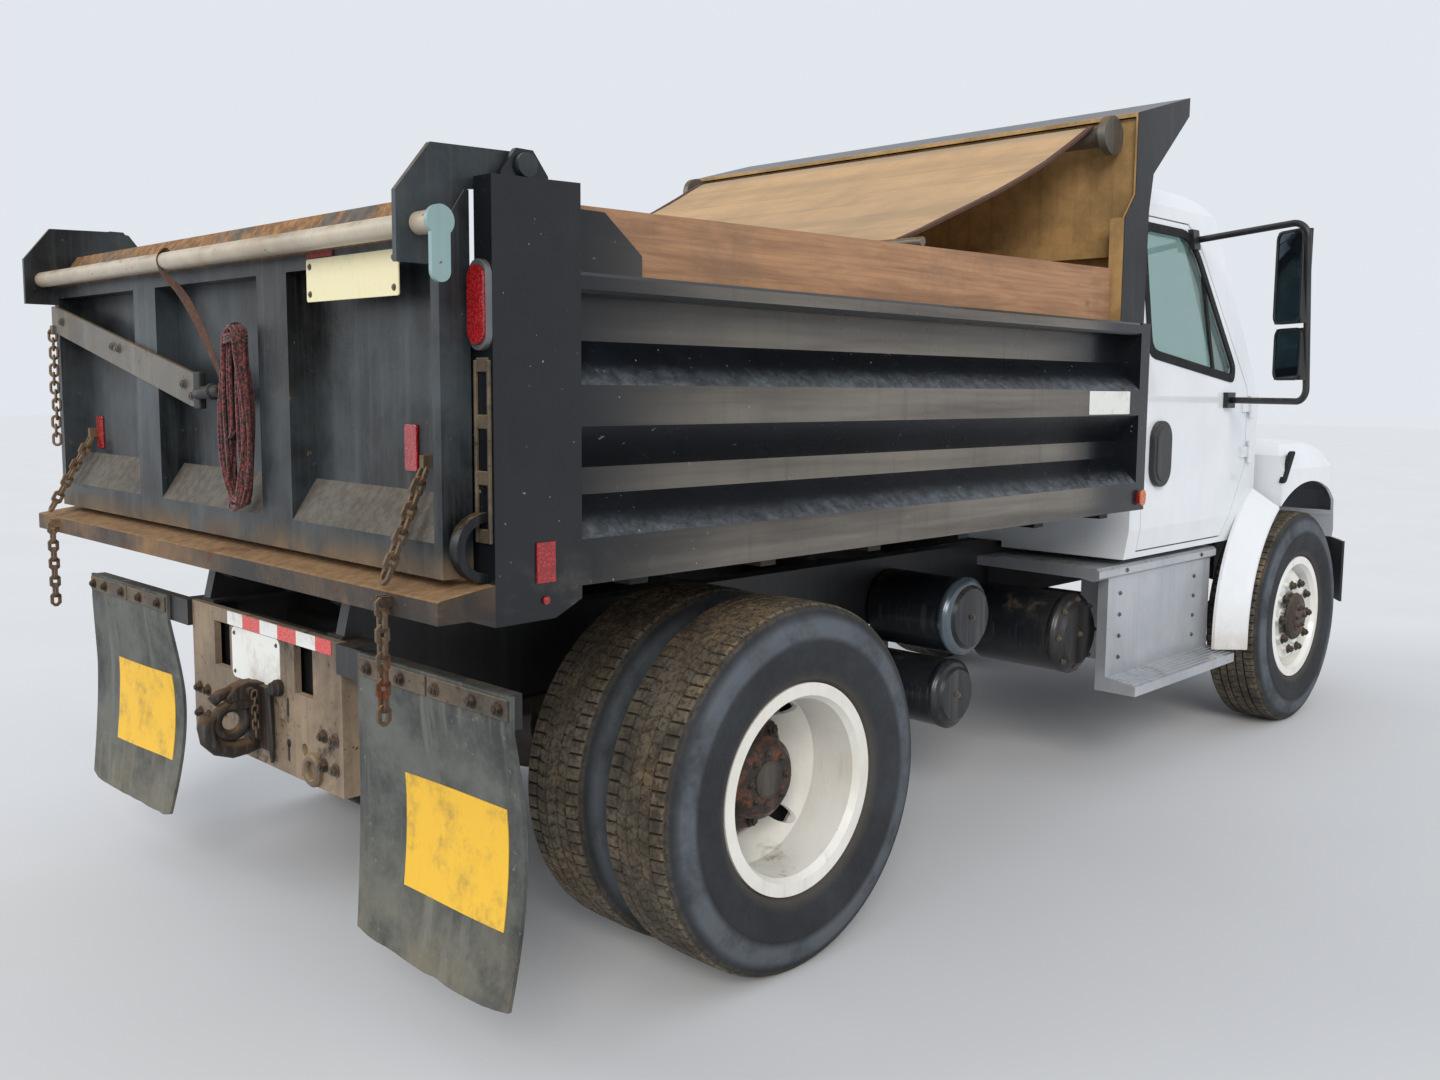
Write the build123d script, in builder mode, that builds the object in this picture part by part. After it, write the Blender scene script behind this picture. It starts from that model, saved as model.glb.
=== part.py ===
from build123d import *
import os
from math import atan2, cos, hypot, radians, sin

os.makedirs("parts", exist_ok=True)

# Overall layout, in millimetres, with X forward, Y to the left and Z up
wheelbase = 3810
rear_reach = 1200
front_reach = 1020
overall_length = rear_reach + wheelbase + front_reach
rear_x = rear_reach - overall_length / 2
front_x = rear_x + wheelbase
body_half = 1219

# Clearances
seat_gap = 0.3
pin_gap = 0.5

# Wheels
tyre_radius = 525
tyre_width = 279
rim_radius = 286
flange_radius = 300
rim_width = 210
dual_spacing = 337
rear_track_half = 917
front_track_half = 1020
kingpin_half = front_track_half - 140
wheel_z = tyre_radius

# Frame
rail_half = 432
rail_height = 257
rail_flange = 80
rail_web = 10
rail_bottom = 720
rail_top = rail_bottom + rail_height
frame_rear = rear_x - 955
frame_front = front_x + 800

# Load body
sill_bottom = rail_top + 58
sill_height = 115
sill_inner = 300
sill_width = 75
cross_height = 48
floor_thickness = 10
floor_top = sill_bottom + sill_height + cross_height + floor_thickness
body_rear = rear_x - 1022
body_front = rear_x + 1945
hinge_x = rear_x - 880
hinge_z = sill_bottom + 50
hinge_radius = 25
side_thickness = 110
side_inner = body_half - side_thickness
side_top = 1890
side_bottom = 1187
post_width = 235
post_top = 2073
post_bottom = 1120
post_upper_thickness = 64
bulkhead_x = rear_x + 1860
bulkhead_top = 2640
shield_half = body_half - 29
shield_front = rear_x + 2255
shield_rise = 135
shield_top = bulkhead_top + shield_rise

# Tailgate
gate_half = body_half - 69
gate_face = rear_x - 1106
gate_inner = rear_x - 1030
gate_skin = 10
gate_bottom = 1224
gate_top = 2045
ear_rear = rear_x - rear_reach
ear_thickness = 15
ear_outer = gate_half - 5
gate_pin_x = rear_x - 900
gate_pin_z = 2110
gate_pin_radius = 18
pipe_x = rear_x - 1146
pipe_z = 1965
pipe_radius = 24

# Hoist
hoist_base_x = hinge_x + 350
hoist_base_z = hinge_z - 420
hoist_eye_x = hinge_x + 800
hoist_eye_z = hinge_z + 50
hoist_pin_radius = 22

# Cab
cab_wall = 40
cab_floor = 950
cab_roof = 2520
cab_back = rear_x + 2170
cab_cowl = rear_x + 3430
cab_half = 1050
belt_z = 1620
door_gap = 6

# Hood
hood_hinge_x = front_x + 890
hood_hinge_z = 900
hood_pin_radius = 12
hood_arm_y = 461
arch_radius = 675
arch_centre_z = 530
flare_outer_radius = 790
fender_outer = cab_half + 120
fender_inner = 600


# Sketch and solid helpers that add to the part being built
def slab_y(points, y_low, y_high, mode=Mode.ADD):
    """A plate with an outline in X and Z that runs from y_low to y_high."""
    with BuildSketch(Plane.XZ.offset(-y_high)) as outline:
        with BuildLine():
            Polyline(*points, close=True)
        make_face()
    extrude(outline.sketch, amount=y_high - y_low, mode=mode)


def slab_x(points, x_low, x_high, mode=Mode.ADD):
    """A plate with an outline in Y and Z that runs from x_low to x_high."""
    with BuildSketch(Plane.YZ.offset(x_low)) as outline:
        with BuildLine():
            Polyline(*points, close=True)
        make_face()
    extrude(outline.sketch, amount=x_high - x_low, mode=mode)


def slab_z(points, z_low, z_high, mode=Mode.ADD):
    """A plate with an outline in X and Y that runs from z_low to z_high."""
    with BuildSketch(Plane.XY.offset(z_low)) as outline:
        with BuildLine():
            Polyline(*points, close=True)
        make_face()
    extrude(outline.sketch, amount=z_high - z_low, mode=mode)


def block(x, y, z, mode=Mode.ADD):
    """A box between two values on each axis."""
    with Locations(((x[0] + x[1]) / 2, (y[0] + y[1]) / 2, (z[0] + z[1]) / 2)):
        Box(x[1] - x[0], y[1] - y[0], z[1] - z[0], mode=mode)


def rod_y(x, z, radius, y_low, y_high, mode=Mode.ADD):
    """A round bar along Y."""
    with BuildSketch(Plane.XZ.offset(-y_high)) as outline:
        with Locations((x, z)):
            Circle(radius)
    extrude(outline.sketch, amount=y_high - y_low, mode=mode)


def rod_x(y, z, radius, x_low, x_high, mode=Mode.ADD):
    """A round bar along X."""
    with BuildSketch(Plane.YZ.offset(x_low)) as outline:
        with Locations((y, z)):
            Circle(radius)
    extrude(outline.sketch, amount=x_high - x_low, mode=mode)


def rod_z(x, y, radius, z_low, z_high, mode=Mode.ADD):
    """A round bar along Z."""
    with BuildSketch(Plane.XY.offset(z_low)) as outline:
        with Locations((x, y)):
            Circle(radius)
    extrude(outline.sketch, amount=z_high - z_low, mode=mode)


def mirrored(side, low, high):
    """The two Y values of a span on one side of the truck."""
    return (low, high) if side > 0 else (-high, -low)


SIDES = ((1, "left"), (-1, "right"))

# Frame rails, channels that face inwards
with BuildPart() as frame_rails:
    rail_inner = rail_half - rail_flange
    web_inner = rail_half - rail_web
    for side, side_name in SIDES:
        channel = [
            (rail_half, rail_bottom), (rail_inner, rail_bottom),
            (rail_inner, rail_bottom + rail_web), (web_inner, rail_bottom + rail_web),
            (web_inner, rail_top - rail_web), (rail_inner, rail_top - rail_web),
            (rail_inner, rail_top), (rail_half, rail_top),
        ]
        slab_x([(side * y, z) for y, z in channel], frame_rear, frame_front)
frame_rails.part.label = "frame_rails"
export_step(frame_rails.part, "parts/frame_rails.step")

# Crossmembers between the rails, columns: centre x, lower z, height
CROSSMEMBERS = (
    (rear_x - 890, 750, 180), (rear_x + 560, 750, 180), (rear_x + 1500, 750, 160), (rear_x + 2500, 815, 120),
)
cross_length = 2 * (web_inner - seat_gap)
cross_depth = 90
with BuildPart() as crossmembers:
    for centre_x, low_z, height in CROSSMEMBERS:
        block(
            (centre_x - cross_depth / 2, centre_x + cross_depth / 2), (-cross_length / 2, cross_length / 2),
            (low_z, low_z + height),
        )
crossmembers.part.label = "crossmembers"
export_step(crossmembers.part, "parts/crossmembers.step")

# Hitch plate across the frame's end, with lamp slots and two chain eyes
hitch_half = 460
hitch_thickness = 20
hitch_bottom = 550
hitch_top = 968
flap_top = hitch_top
hanger_low = flap_top - 80
hitch_rear = frame_rear - seat_gap - hitch_thickness
hitch_side_depth = 70
chain_eye_radius = 17
chain_eye_y = 250
chain_eye_z = 640
# Slots on each side, columns: inner y, outer y, lower z, upper z
HITCH_SLOTS = ((200, 305, 790, 925), (148, 162, 590, 645), (148, 162, 695, 750))
with BuildPart() as hitch_plate:
    block((hitch_rear, hitch_rear + hitch_thickness), (-hitch_half, hitch_half), (hitch_bottom, hitch_top))
    for side, side_name in SIDES:
        rod_x(
            side * chain_eye_y, chain_eye_z, chain_eye_radius, hitch_rear, hitch_rear + hitch_thickness,
            Mode.SUBTRACT,
        )
        for near, far, low_z, high_z in HITCH_SLOTS:
            block(
                (hitch_rear, hitch_rear + hitch_thickness), mirrored(side, near, far), (low_z, high_z),
                Mode.SUBTRACT,
            )
        gusset = [
            (hitch_rear + hitch_thickness, hitch_bottom + 20),
            (hitch_rear + hitch_thickness, rail_bottom - seat_gap),
            (hitch_rear + 180, rail_bottom - seat_gap),
            (hitch_rear + 180, rail_bottom - 40),
        ]
        slab_y(gusset, *mirrored(side, rail_half - 40, rail_half - 20))
        block(
            (hitch_rear + hitch_thickness, hitch_rear + hitch_thickness + hitch_side_depth),
            mirrored(side, hitch_half - hitch_thickness, hitch_half), (hitch_bottom, hanger_low - seat_gap),
        )
hitch_plate.part.label = "hitch_plate"
export_step(hitch_plate.part, "parts/hitch_plate.step")

# Pintle hook, a bracket with a hook and its closed jaw
hook_z = 690
hook_radius = 42
hook_wire = 17
hook_stand = 45
with BuildPart() as pintle_hook:
    plate_x = hitch_rear - seat_gap
    block((plate_x - 22, plate_x), (-75, 75), (hook_z - 85, hook_z + 95))
    block((plate_x - hook_stand, plate_x - 20), (-32, 32), (hook_z - 60, hook_z + 70))
    hook_centre = plate_x - hook_stand - hook_radius - 6
    with Locations(Location((hook_centre, 0, hook_z), (90, 0, 0))):
        Torus(hook_radius, hook_wire)
    slab_y(
        [
            (hook_centre - 10, hook_z + hook_radius - 4), (plate_x - 30, hook_z + 30),
            (plate_x - 30, hook_z + 85), (hook_centre + 10, hook_z + hook_radius + 26),
        ],
        -22, 22,
    )
pintle_hook.part.label = "pintle_hook"
export_step(pintle_hook.part, "parts/pintle_hook.step")

# Rear axle: banjo housing, tubes and hub spindles, with the drive shaft as its own solid
axle_tube_radius = 62
banjo_radius = 195
banjo_half = 150
spindle_radius = 48
hub_face = rear_track_half - dual_spacing / 2 - rim_width / 2 + 20
spindle_end = rear_track_half + 60
with BuildPart() as rear_axle:
    rod_y(rear_x, wheel_z, axle_tube_radius, -hub_face + 60, hub_face - 60)
    rod_y(rear_x, wheel_z, spindle_radius, -spindle_end, spindle_end)
    with BuildSketch(Plane.XZ) as banjo_face:
        with Locations((rear_x, wheel_z)):
            Circle(banjo_radius)
    extrude(banjo_face.sketch, amount=banjo_half, both=True, taper=18)
    with BuildSketch(Plane.YZ.offset(rear_x + 120)) as pinion_base:
        with Locations((0, wheel_z + 20)):
            Circle(120)
    with BuildSketch(Plane.YZ.offset(rear_x + 330)) as pinion_end:
        with Locations((0, wheel_z + 30)):
            Circle(60)
    loft([pinion_base.sketch.face(), pinion_end.sketch.face()])
    shaft_start = rear_x + 330 + seat_gap
    shaft_end = front_x - 1050
    with BuildSketch(Plane.YZ.offset(shaft_start)) as shaft_rear:
        with Locations((0, wheel_z + 30)):
            Circle(45)
    with BuildSketch(Plane.YZ.offset(shaft_end)) as shaft_front:
        with Locations((0, rail_bottom + 60)):
            Circle(45)
    loft([shaft_rear.sketch.face(), shaft_front.sketch.face()])
rear_axle.part.label = "rear_axle"
export_step(rear_axle.part, "parts/rear_axle.step")

# Leaf springs, tapered packs under the rails, columns: axle x, half length, leaf stack, pack width, seat z
spring_y = rail_half - 45
front_beam_top = 500
SPRINGS = (
    (rear_x, 690, 110, 76, wheel_z + axle_tube_radius + seat_gap),
    (front_x, 700, 60, 76, front_beam_top + seat_gap),
)
with BuildPart() as leaf_springs:
    for axle_x, half_length, stack, pack_width, seat_z in SPRINGS:
        eye_z = rail_bottom - seat_gap - 30
        leaf = 14
        arc = [
            (axle_x - half_length, eye_z - leaf), (axle_x - half_length, eye_z + leaf),
            (axle_x - 0.5 * half_length, seat_z + stack * 1.05), (axle_x, seat_z + stack),
            (axle_x + 0.5 * half_length, seat_z + stack * 1.05),
            (axle_x + half_length, eye_z + leaf), (axle_x + half_length, eye_z - leaf),
            (axle_x + 0.45 * half_length, seat_z + 0.6 * stack), (axle_x + 90, seat_z),
            (axle_x - 90, seat_z), (axle_x - 0.45 * half_length, seat_z + 0.6 * stack),
        ]
        for side, side_name in SIDES:
            slab_y(arc, *mirrored(side, spring_y - pack_width / 2, spring_y + pack_width / 2))
            for end in (-1, 1):
                eye_x = axle_x + end * (half_length - 12)
                hanger = [
                    (eye_x - 40, eye_z - 34), (eye_x + 40, eye_z - 34),
                    (eye_x + 55, rail_bottom - seat_gap), (eye_x - 55, rail_bottom - seat_gap),
                ]
                slab_y(hanger, *mirrored(side, spring_y - pack_width / 2, spring_y + pack_width / 2))
leaf_springs.part.label = "leaf_springs"
export_step(leaf_springs.part, "parts/leaf_springs.step")

# Front axle, a dropped beam with an eye for each kingpin
beam_height = 95
beam_width = 90
kingpin_radius = 22
eye_half_height = 60
eye_radius = 52
with BuildPart() as front_axle:
    beam = [
        (-kingpin_half, wheel_z - 50), (-kingpin_half + 120, wheel_z - 50),
        (-kingpin_half + 260, front_beam_top - beam_height),
        (kingpin_half - 260, front_beam_top - beam_height),
        (kingpin_half - 120, wheel_z - 50), (kingpin_half, wheel_z - 50), (kingpin_half, wheel_z + 50),
        (kingpin_half - 130, wheel_z + 50), (kingpin_half - 300, front_beam_top),
        (-kingpin_half + 300, front_beam_top), (-kingpin_half + 130, wheel_z + 50),
        (-kingpin_half, wheel_z + 50),
    ]
    slab_x(beam, front_x - beam_width / 2, front_x + beam_width / 2)
    for side, side_name in SIDES:
        rod_z(front_x, side * kingpin_half, eye_radius, wheel_z - eye_half_height, wheel_z + eye_half_height)
        rod_z(
            front_x, side * kingpin_half, kingpin_radius + pin_gap,
            wheel_z - eye_half_height, wheel_z + eye_half_height, Mode.SUBTRACT,
        )
front_axle.part.label = "front_axle"
export_step(front_axle.part, "parts/front_axle.step")

# Knuckles: a kingpin through the beam's eye, a forked yoke, the spindle and the steering arm
yoke_gap = 5
yoke_thickness = 34
arm_length = 190
spindle_front_radius = 38
spindle_front_end = front_track_half + 70
tie_rod_x = front_x - arm_length
tie_ball_y = kingpin_half
tie_rod_z = wheel_z - eye_half_height - yoke_gap - yoke_thickness - 24
for side, side_name in SIDES:
    with BuildPart() as knuckle:
        pin_y = side * kingpin_half
        top = wheel_z + eye_half_height + yoke_gap
        low = wheel_z - eye_half_height - yoke_gap
        rod_z(front_x, pin_y, kingpin_radius, low, top)
        yoke_span = mirrored(side, kingpin_half - 50, kingpin_half + 95)
        block((front_x - 48, front_x + 48), yoke_span, (top, top + yoke_thickness))
        block((front_x - 48, front_x + 48), yoke_span, (low - yoke_thickness, low))
        block((front_x - 48, front_x + 48), mirrored(side, kingpin_half + 60, kingpin_half + 95),
              (low, top))
        rod_y(front_x, wheel_z, spindle_front_radius, *mirrored(side, kingpin_half + 90, spindle_front_end))
        arm = [
            (front_x, side * (kingpin_half - 40)), (front_x, side * (kingpin_half + 30)),
            (tie_rod_x - 24, side * (tie_ball_y + 26)), (tie_rod_x - 24, side * (tie_ball_y - 26)),
        ]
        slab_z(arm, low - yoke_thickness, low - 6)
    knuckle.part.label = f"knuckle_{side_name}"
    export_step(knuckle.part, f"parts/knuckle_{side_name}.step")

# Tie rod between the two steering arms, with a ball end under each
tie_ball_height = 30
with BuildPart() as tie_rod:
    rod_y(tie_rod_x, tie_rod_z - 14, 16, -tie_ball_y, tie_ball_y)
    for side, side_name in SIDES:
        rod_z(tie_rod_x, side * tie_ball_y, 22, tie_rod_z - tie_ball_height, tie_rod_z + 24 - seat_gap)
tie_rod.part.label = "tie_rod"
export_step(tie_rod.part, "parts/tie_rod.step")

# Engine and gearbox in one block, and the radiator in front of it
engine_front = front_x + 430
engine_rear = front_x - 380
radiator_x = front_x + 560
engine_half = rail_inner - 15
engine_bottom = wheel_z + 130
with BuildPart() as engine:
    block((engine_rear, engine_front), (-engine_half, engine_half), (engine_bottom, 1320))
    block((front_x - 1050 + seat_gap, engine_rear), (-210, 210), (engine_bottom, cab_floor - 10))
    for mount_x in (front_x - 250, front_x + 250):
        block(
            (mount_x - 60, mount_x + 60), (-web_inner + seat_gap, web_inner - seat_gap),
            (rail_bottom + rail_web + seat_gap, rail_bottom + rail_web + 90),
        )
    block(
        (radiator_x, radiator_x + 70), (-rail_inner + seat_gap, rail_inner - seat_gap),
        (rail_bottom + 60, 1190),
    )
engine.part.label = "engine"
export_step(engine.part, "parts/engine.step")

# Two crosswise air tanks and the exhaust canister, columns: x, z, radius, inner y, outer y
UNDER_TANKS = (
    (rear_x + 1385, 785, 145, 445, 830), (rear_x + 1345, 490, 128, 300, 800),
    (rear_x + 2110, 630, 165, 445, 880),
)
with BuildPart() as side_tanks:
    for tank_x, tank_z, radius, inner_y, outer_y in UNDER_TANKS:
        dome = radius * 0.25
        rod_y(tank_x, tank_z, radius, -outer_y + dome, -inner_y)
        with BuildSketch(Plane.XZ.offset(outer_y - dome)) as tank_end:
            with Locations((tank_x, tank_z)):
                Circle(radius)
        extrude(tank_end.sketch, amount=dome, taper=45)
        block(
            (tank_x - 30, tank_x + 30), (-rail_half - 14, -rail_half - seat_gap),
            (min(tank_z, rail_bottom + 60), rail_top - 100),
        )
        block(
            (tank_x - 30, tank_x + 30), (-max(inner_y, rail_half) - 30, -rail_half - seat_gap),
            (tank_z - 30, tank_z + 30),
        )
side_tanks.part.label = "side_tanks"
export_step(side_tanks.part, "parts/side_tanks.step")

# Fuel tank on the left, a round tank along the frame with two brackets
fuel_radius = 270
fuel_y = rail_half + 45 + fuel_radius
fuel_z = 640
fuel_span = (rear_x + 1250, rear_x + 2000)
with BuildPart() as fuel_tank:
    rod_x(fuel_y, fuel_z, fuel_radius, *fuel_span)
    fillet(faces().filter_by(Axis.X).edges(), 40)
    for strap_x in (fuel_span[0] + 150, fuel_span[1] - 150):
        block(
            (strap_x - 35, strap_x + 35), (rail_half + seat_gap, rail_half + 80),
            (fuel_z - 120, rail_top - 20),
        )
fuel_tank.part.label = "fuel_tank"
export_step(fuel_tank.part, "parts/fuel_tank.step")

# Cab steps on both sides, each outline in y and z
step_rear = rear_x + 2010
step_front = front_x - 700
riser_rear = step_rear + 130
step_low = 400
UPPER_STEP = (
    (rail_half + seat_gap, 925), (1000, 925), (1012, 913), (1012, 885), (985, 870), (940, 880),
    (rail_half + seat_gap, 885),
)
LOWER_STEP = (
    (985, 870), (985, step_low + 60), (1120, step_low + 40), (1120, step_low), (940, step_low), (940, 880),
)
with BuildPart() as cab_steps:
    for side, side_name in SIDES:
        slab_x([(side * y, z) for y, z in UPPER_STEP], step_rear, step_front)
        slab_x([(side * y, z) for y, z in LOWER_STEP], riser_rear, step_front)
        slab_x(
            [(side * y, z) for y, z in ((940, 880), (940, step_low), (560, step_low), (560, 880))],
            step_front - 420, step_front - 20,
        )
cab_steps.part.label = "cab_steps"
export_step(cab_steps.part, "parts/cab_steps.step")

# Cab form: a side outline crossed with an end outline
windscreen_base = (cab_cowl, belt_z - 20)
roof_front = (rear_x + 3050, cab_roof - 40)
CAB_SIDE = (
    (cab_back, cab_floor), (cab_back, 1650), (cab_back + 35, cab_roof - 70), (cab_back + 110, cab_roof),
    (rear_x + 2860, cab_roof), roof_front, windscreen_base, (cab_cowl - 20, belt_z - 140),
    (cab_cowl - 20, cab_floor),
)
CAB_END = (
    (cab_half - 20, cab_floor), (cab_half, cab_floor + 120), (cab_half, belt_z),
    (cab_half - 105, cab_roof - 100),
    (cab_half - 185, cab_roof - 15), (0, cab_roof + 5),
)


def cab_form(inset):
    """The cab's outer form, drawn in by inset on every side."""
    with BuildPart() as form:
        with BuildSketch(Plane.XZ):
            with BuildLine():
                Polyline(*CAB_SIDE, close=True)
            make_face()
            if inset:
                offset(amount=-inset, kind=Kind.INTERSECTION)
        extrude(amount=cab_half + 10, both=True)
        with BuildSketch(Plane.YZ.offset(cab_back - 50)):
            with BuildLine():
                Polyline(*CAB_END, *[(-y, z) for y, z in CAB_END[-2::-1]], close=True)
            make_face()
            if inset:
                offset(amount=-inset, kind=Kind.INTERSECTION)
        extrude(amount=cab_cowl - cab_back + 100, mode=Mode.INTERSECT)
    return form.part


cab_skin = cab_form(0) - cab_form(cab_wall)

# Door outline, window outline and windscreen opening, all in X and Z
DOOR = (
    (rear_x + 2265, cab_floor + 25), (rear_x + 2265, 1700), (rear_x + 2300, 2365), (rear_x + 2800, 2365),
    (rear_x + 2905, 2290), (rear_x + 3290, belt_z + 40), (rear_x + 3290, 1290),
    (rear_x + 3085, cab_floor + 25),
)
WINDOW = (
    (rear_x + 2345, 1800), (rear_x + 2370, 2310), (rear_x + 2770, 2310), (rear_x + 2860, 2235),
    (rear_x + 3140, 1750), (rear_x + 3120, 1705),
)
glass_thickness = 8
door_hinge_x = rear_x + 3305
door_hinge_y = cab_half + 13
door_pin_radius = 6
DOOR_HINGES = (1360, 1570)

with BuildPart() as cab_shell:
    add(cab_skin)
    slab_y(DOOR, cab_half - 220, cab_half + 20, Mode.SUBTRACT)
    slab_y(DOOR, -cab_half - 20, -cab_half + 220, Mode.SUBTRACT)
    block(
        (cab_back - 10, cab_cowl + 10), (-rail_half - 20, rail_half + 20),
        (cab_floor - 10, rail_top + seat_gap),
        Mode.SUBTRACT,
    )
    screen_low = (windscreen_base[0], windscreen_base[1] + 60)
    screen_high = (roof_front[0] + 20, roof_front[1] - 60)
    slab_x(
        [(-860, screen_low[1]), (860, screen_low[1]), (790, screen_high[1]), (-790, screen_high[1])],
        rear_x + 2800, cab_cowl + 60, Mode.SUBTRACT,
    )
    slab_x(
        [(-620, 1780), (620, 1780), (600, 2260), (-600, 2260)],
        cab_back - 20, cab_back + 120, Mode.SUBTRACT,
    )
    for side, side_name in SIDES:
        for hinge_mid in DOOR_HINGES:
            rod_z(door_hinge_x, side * door_hinge_y, door_pin_radius, hinge_mid - 50, hinge_mid + 50)
            for low_z, high_z in ((hinge_mid - 50, hinge_mid - 26), (hinge_mid + 26, hinge_mid + 50)):
                leaf = mirrored(side, cab_half - 2, cab_half + 8)
                block((door_hinge_x - 4, door_hinge_x + 50), leaf, (low_z, high_z))
                rod_z(door_hinge_x, side * door_hinge_y, door_pin_radius + 6, low_z, high_z)
cab_shell.part.label = "cab_shell"
export_step(cab_shell.part, "parts/cab_shell.step")

# Windscreen and rear window, thin panes inside the wall's thickness
with BuildPart() as cab_glass:
    lean = atan2(roof_front[1] - windscreen_base[1], windscreen_base[0] - roof_front[0])
    pane_depth = 16
    back_off = (-pane_depth * sin(lean), -pane_depth * cos(lean))
    thin_off = (-(pane_depth + glass_thickness) * sin(lean), -(pane_depth + glass_thickness) * cos(lean))
    along = (windscreen_base[1] - roof_front[1]) / (windscreen_base[0] - roof_front[0])
    low_z = screen_low[1] + seat_gap
    high_z = screen_high[1] - seat_gap

    pane = []
    for z, off in ((low_z, back_off), (high_z, back_off), (high_z, thin_off), (low_z, thin_off)):
        pane.append((roof_front[0] + (z - roof_front[1] - off[1]) / along + off[0], z))
    slab_y(pane, -900, 900)
    slab_x(
        [
            (-860 + seat_gap, low_z), (860 - seat_gap, low_z), (790 - seat_gap, high_z),
            (-790 + seat_gap, high_z),
        ],
        rear_x + 2700, cab_cowl + 60, Mode.INTERSECT,
    )
    slab_x(
        [
            (-620 + seat_gap, 1780 + seat_gap), (620 - seat_gap, 1780 + seat_gap),
            (600 - seat_gap, 2260 - seat_gap), (-600 + seat_gap, 2260 - seat_gap),
        ],
        cab_back + 18, cab_back + 18 + glass_thickness,
    )
cab_glass.part.label = "cab_glass"
export_step(cab_glass.part, "parts/cab_glass.step")

# Doors with their glass, and the mirror frames that ride on them
mirror_y = 1470
mirror_turn = 35
mirror_half = 90
door_lean = 105 / (cab_roof - 100 - belt_z)
mirror_x = rear_x + 2745
mirror_tube = 14
arm_high = 2336
arm_low = 1600
arm_root_high = 2300
arm_root_y = cab_half - (arm_root_high - belt_z) * door_lean + mirror_tube + 8
for side, side_name in SIDES:
    near, far = mirrored(side, cab_half - 215, cab_half + 20)
    with BuildPart() as door:
        add(cab_skin)
        with BuildSketch(Plane.XZ.offset(-far)):
            with BuildLine():
                Polyline(*DOOR, close=True)
            make_face()
            offset(amount=-door_gap, kind=Kind.INTERSECTION)
        extrude(amount=far - near, mode=Mode.INTERSECT)
        slab_y(WINDOW, near, far, Mode.SUBTRACT)
        handle = [
            (rear_x + 2340, 1300), (rear_x + 2330, 1450), (rear_x + 2355, 1475), (rear_x + 2440, 1475),
            (rear_x + 2460, 1450), (rear_x + 2470, 1300),
        ]
        slab_y(handle, *mirrored(side, cab_half - 5, cab_half + 22))
        for hinge_mid in DOOR_HINGES:
            tube = (hinge_mid - 25, hinge_mid + 25)
            block((door_hinge_x - 80, door_hinge_x - 25), mirrored(side, cab_half - 2, cab_half + 8), tube)
            block((door_hinge_x - 80, door_hinge_x), mirrored(side, cab_half + 2, cab_half + 8), tube)
            rod_z(door_hinge_x, side * door_hinge_y, door_pin_radius + 6, *tube)
            rod_z(door_hinge_x, side * door_hinge_y, door_pin_radius + pin_gap, *tube, Mode.SUBTRACT)
    door.part.label = f"door_{side_name}"
    export_step(door.part, f"parts/door_{side_name}.step")

    with BuildPart() as door_glass:
        with BuildSketch(Plane.XZ.offset(-far)):
            with BuildLine():
                Polyline(*WINDOW, close=True)
            make_face()
            offset(amount=-seat_gap, kind=Kind.INTERSECTION)
        extrude(amount=far - near)
        lower = (cab_half - 15, belt_z)
        upper = (cab_half - 120, cab_roof - 100)
        pane = [
            lower, upper, (upper[0] - glass_thickness, upper[1]), (lower[0] - glass_thickness, lower[1]),
        ]
        slab_x([(side * y, z) for y, z in pane], cab_back, cab_cowl, Mode.INTERSECT)
    door_glass.part.label = f"door_glass_{side_name}"
    export_step(door_glass.part, f"parts/door_glass_{side_name}.step")

    with BuildPart() as mirror_frame:
        with BuildLine() as loop_path:
            FilletPolyline(
                (rear_x + 2850, side * arm_root_y, arm_root_high), (mirror_x + 40, side * mirror_y, arm_high),
                (mirror_x + 120, side * mirror_y, arm_low),
                (rear_x + 3060, side * (cab_half + mirror_tube + 6), arm_low),
                radius=60,
            )
        with BuildSketch(Plane(origin=loop_path.line @ 0, z_dir=loop_path.line % 0)):
            Circle(mirror_tube)
        sweep()
        for head_x, low_z, high_z in ((mirror_x + 115, 1925, 2310), (mirror_x + 140, 1690, 1905)):
            head_at = (head_x, side * (mirror_y - 76), (low_z + high_z) / 2)
            head = Location(head_at, (0, 0, side * mirror_turn))
            with Locations(head):
                Box(38, 2 * mirror_half, high_z - low_z)
        block(
            (rear_x + 3020, rear_x + 3100), mirrored(side, cab_half + seat_gap, cab_half + 22),
            (arm_low - 35, arm_low + 35),
        )
        foot = []
        for foot_z in (arm_root_high - 45, arm_root_high + 40):
            foot.append((cab_half - (foot_z - belt_z) * door_lean + 0.4, foot_z))
        for foot_z in (arm_root_high + 40, arm_root_high - 45):
            foot.append((cab_half - (foot_z - belt_z) * door_lean + 24, foot_z))
        slab_x([(side * y, z) for y, z in foot], rear_x + 2790, rear_x + 2850)
    mirror_frame.part.label = f"mirror_{side_name}"
    export_step(mirror_frame.part, f"parts/mirror_{side_name}.step")

# Dashboard with the steering column and wheel
dash_x = cab_cowl - 20 - cab_wall - seat_gap
wheel_centre = (rear_x + 2990, 420, 1600)
with BuildPart() as dashboard:
    slab_y(
        [
            (dash_x, 1150), (dash_x, belt_z - 175), (dash_x - 130, belt_z - 130),
            (dash_x - 300, belt_z - 190),
            (dash_x - 330, 1300), (dash_x - 150, 1180),
        ],
        -cab_half + 110, cab_half - 110,
    )
    tilt = Plane(origin=wheel_centre, x_dir=(0, 1, 0), z_dir=(-0.8, 0, 0.6))
    with BuildSketch(tilt.offset(-230)):
        Circle(32)
    extrude(amount=240)
    with Locations(tilt.location):
        Torus(200, 15)
    with BuildSketch(tilt.offset(-8)):
        Circle(50)
        Rectangle(390, 36)
    extrude(amount=16)
dashboard.part.label = "dashboard"
export_step(dashboard.part, "parts/dashboard.step")

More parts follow.
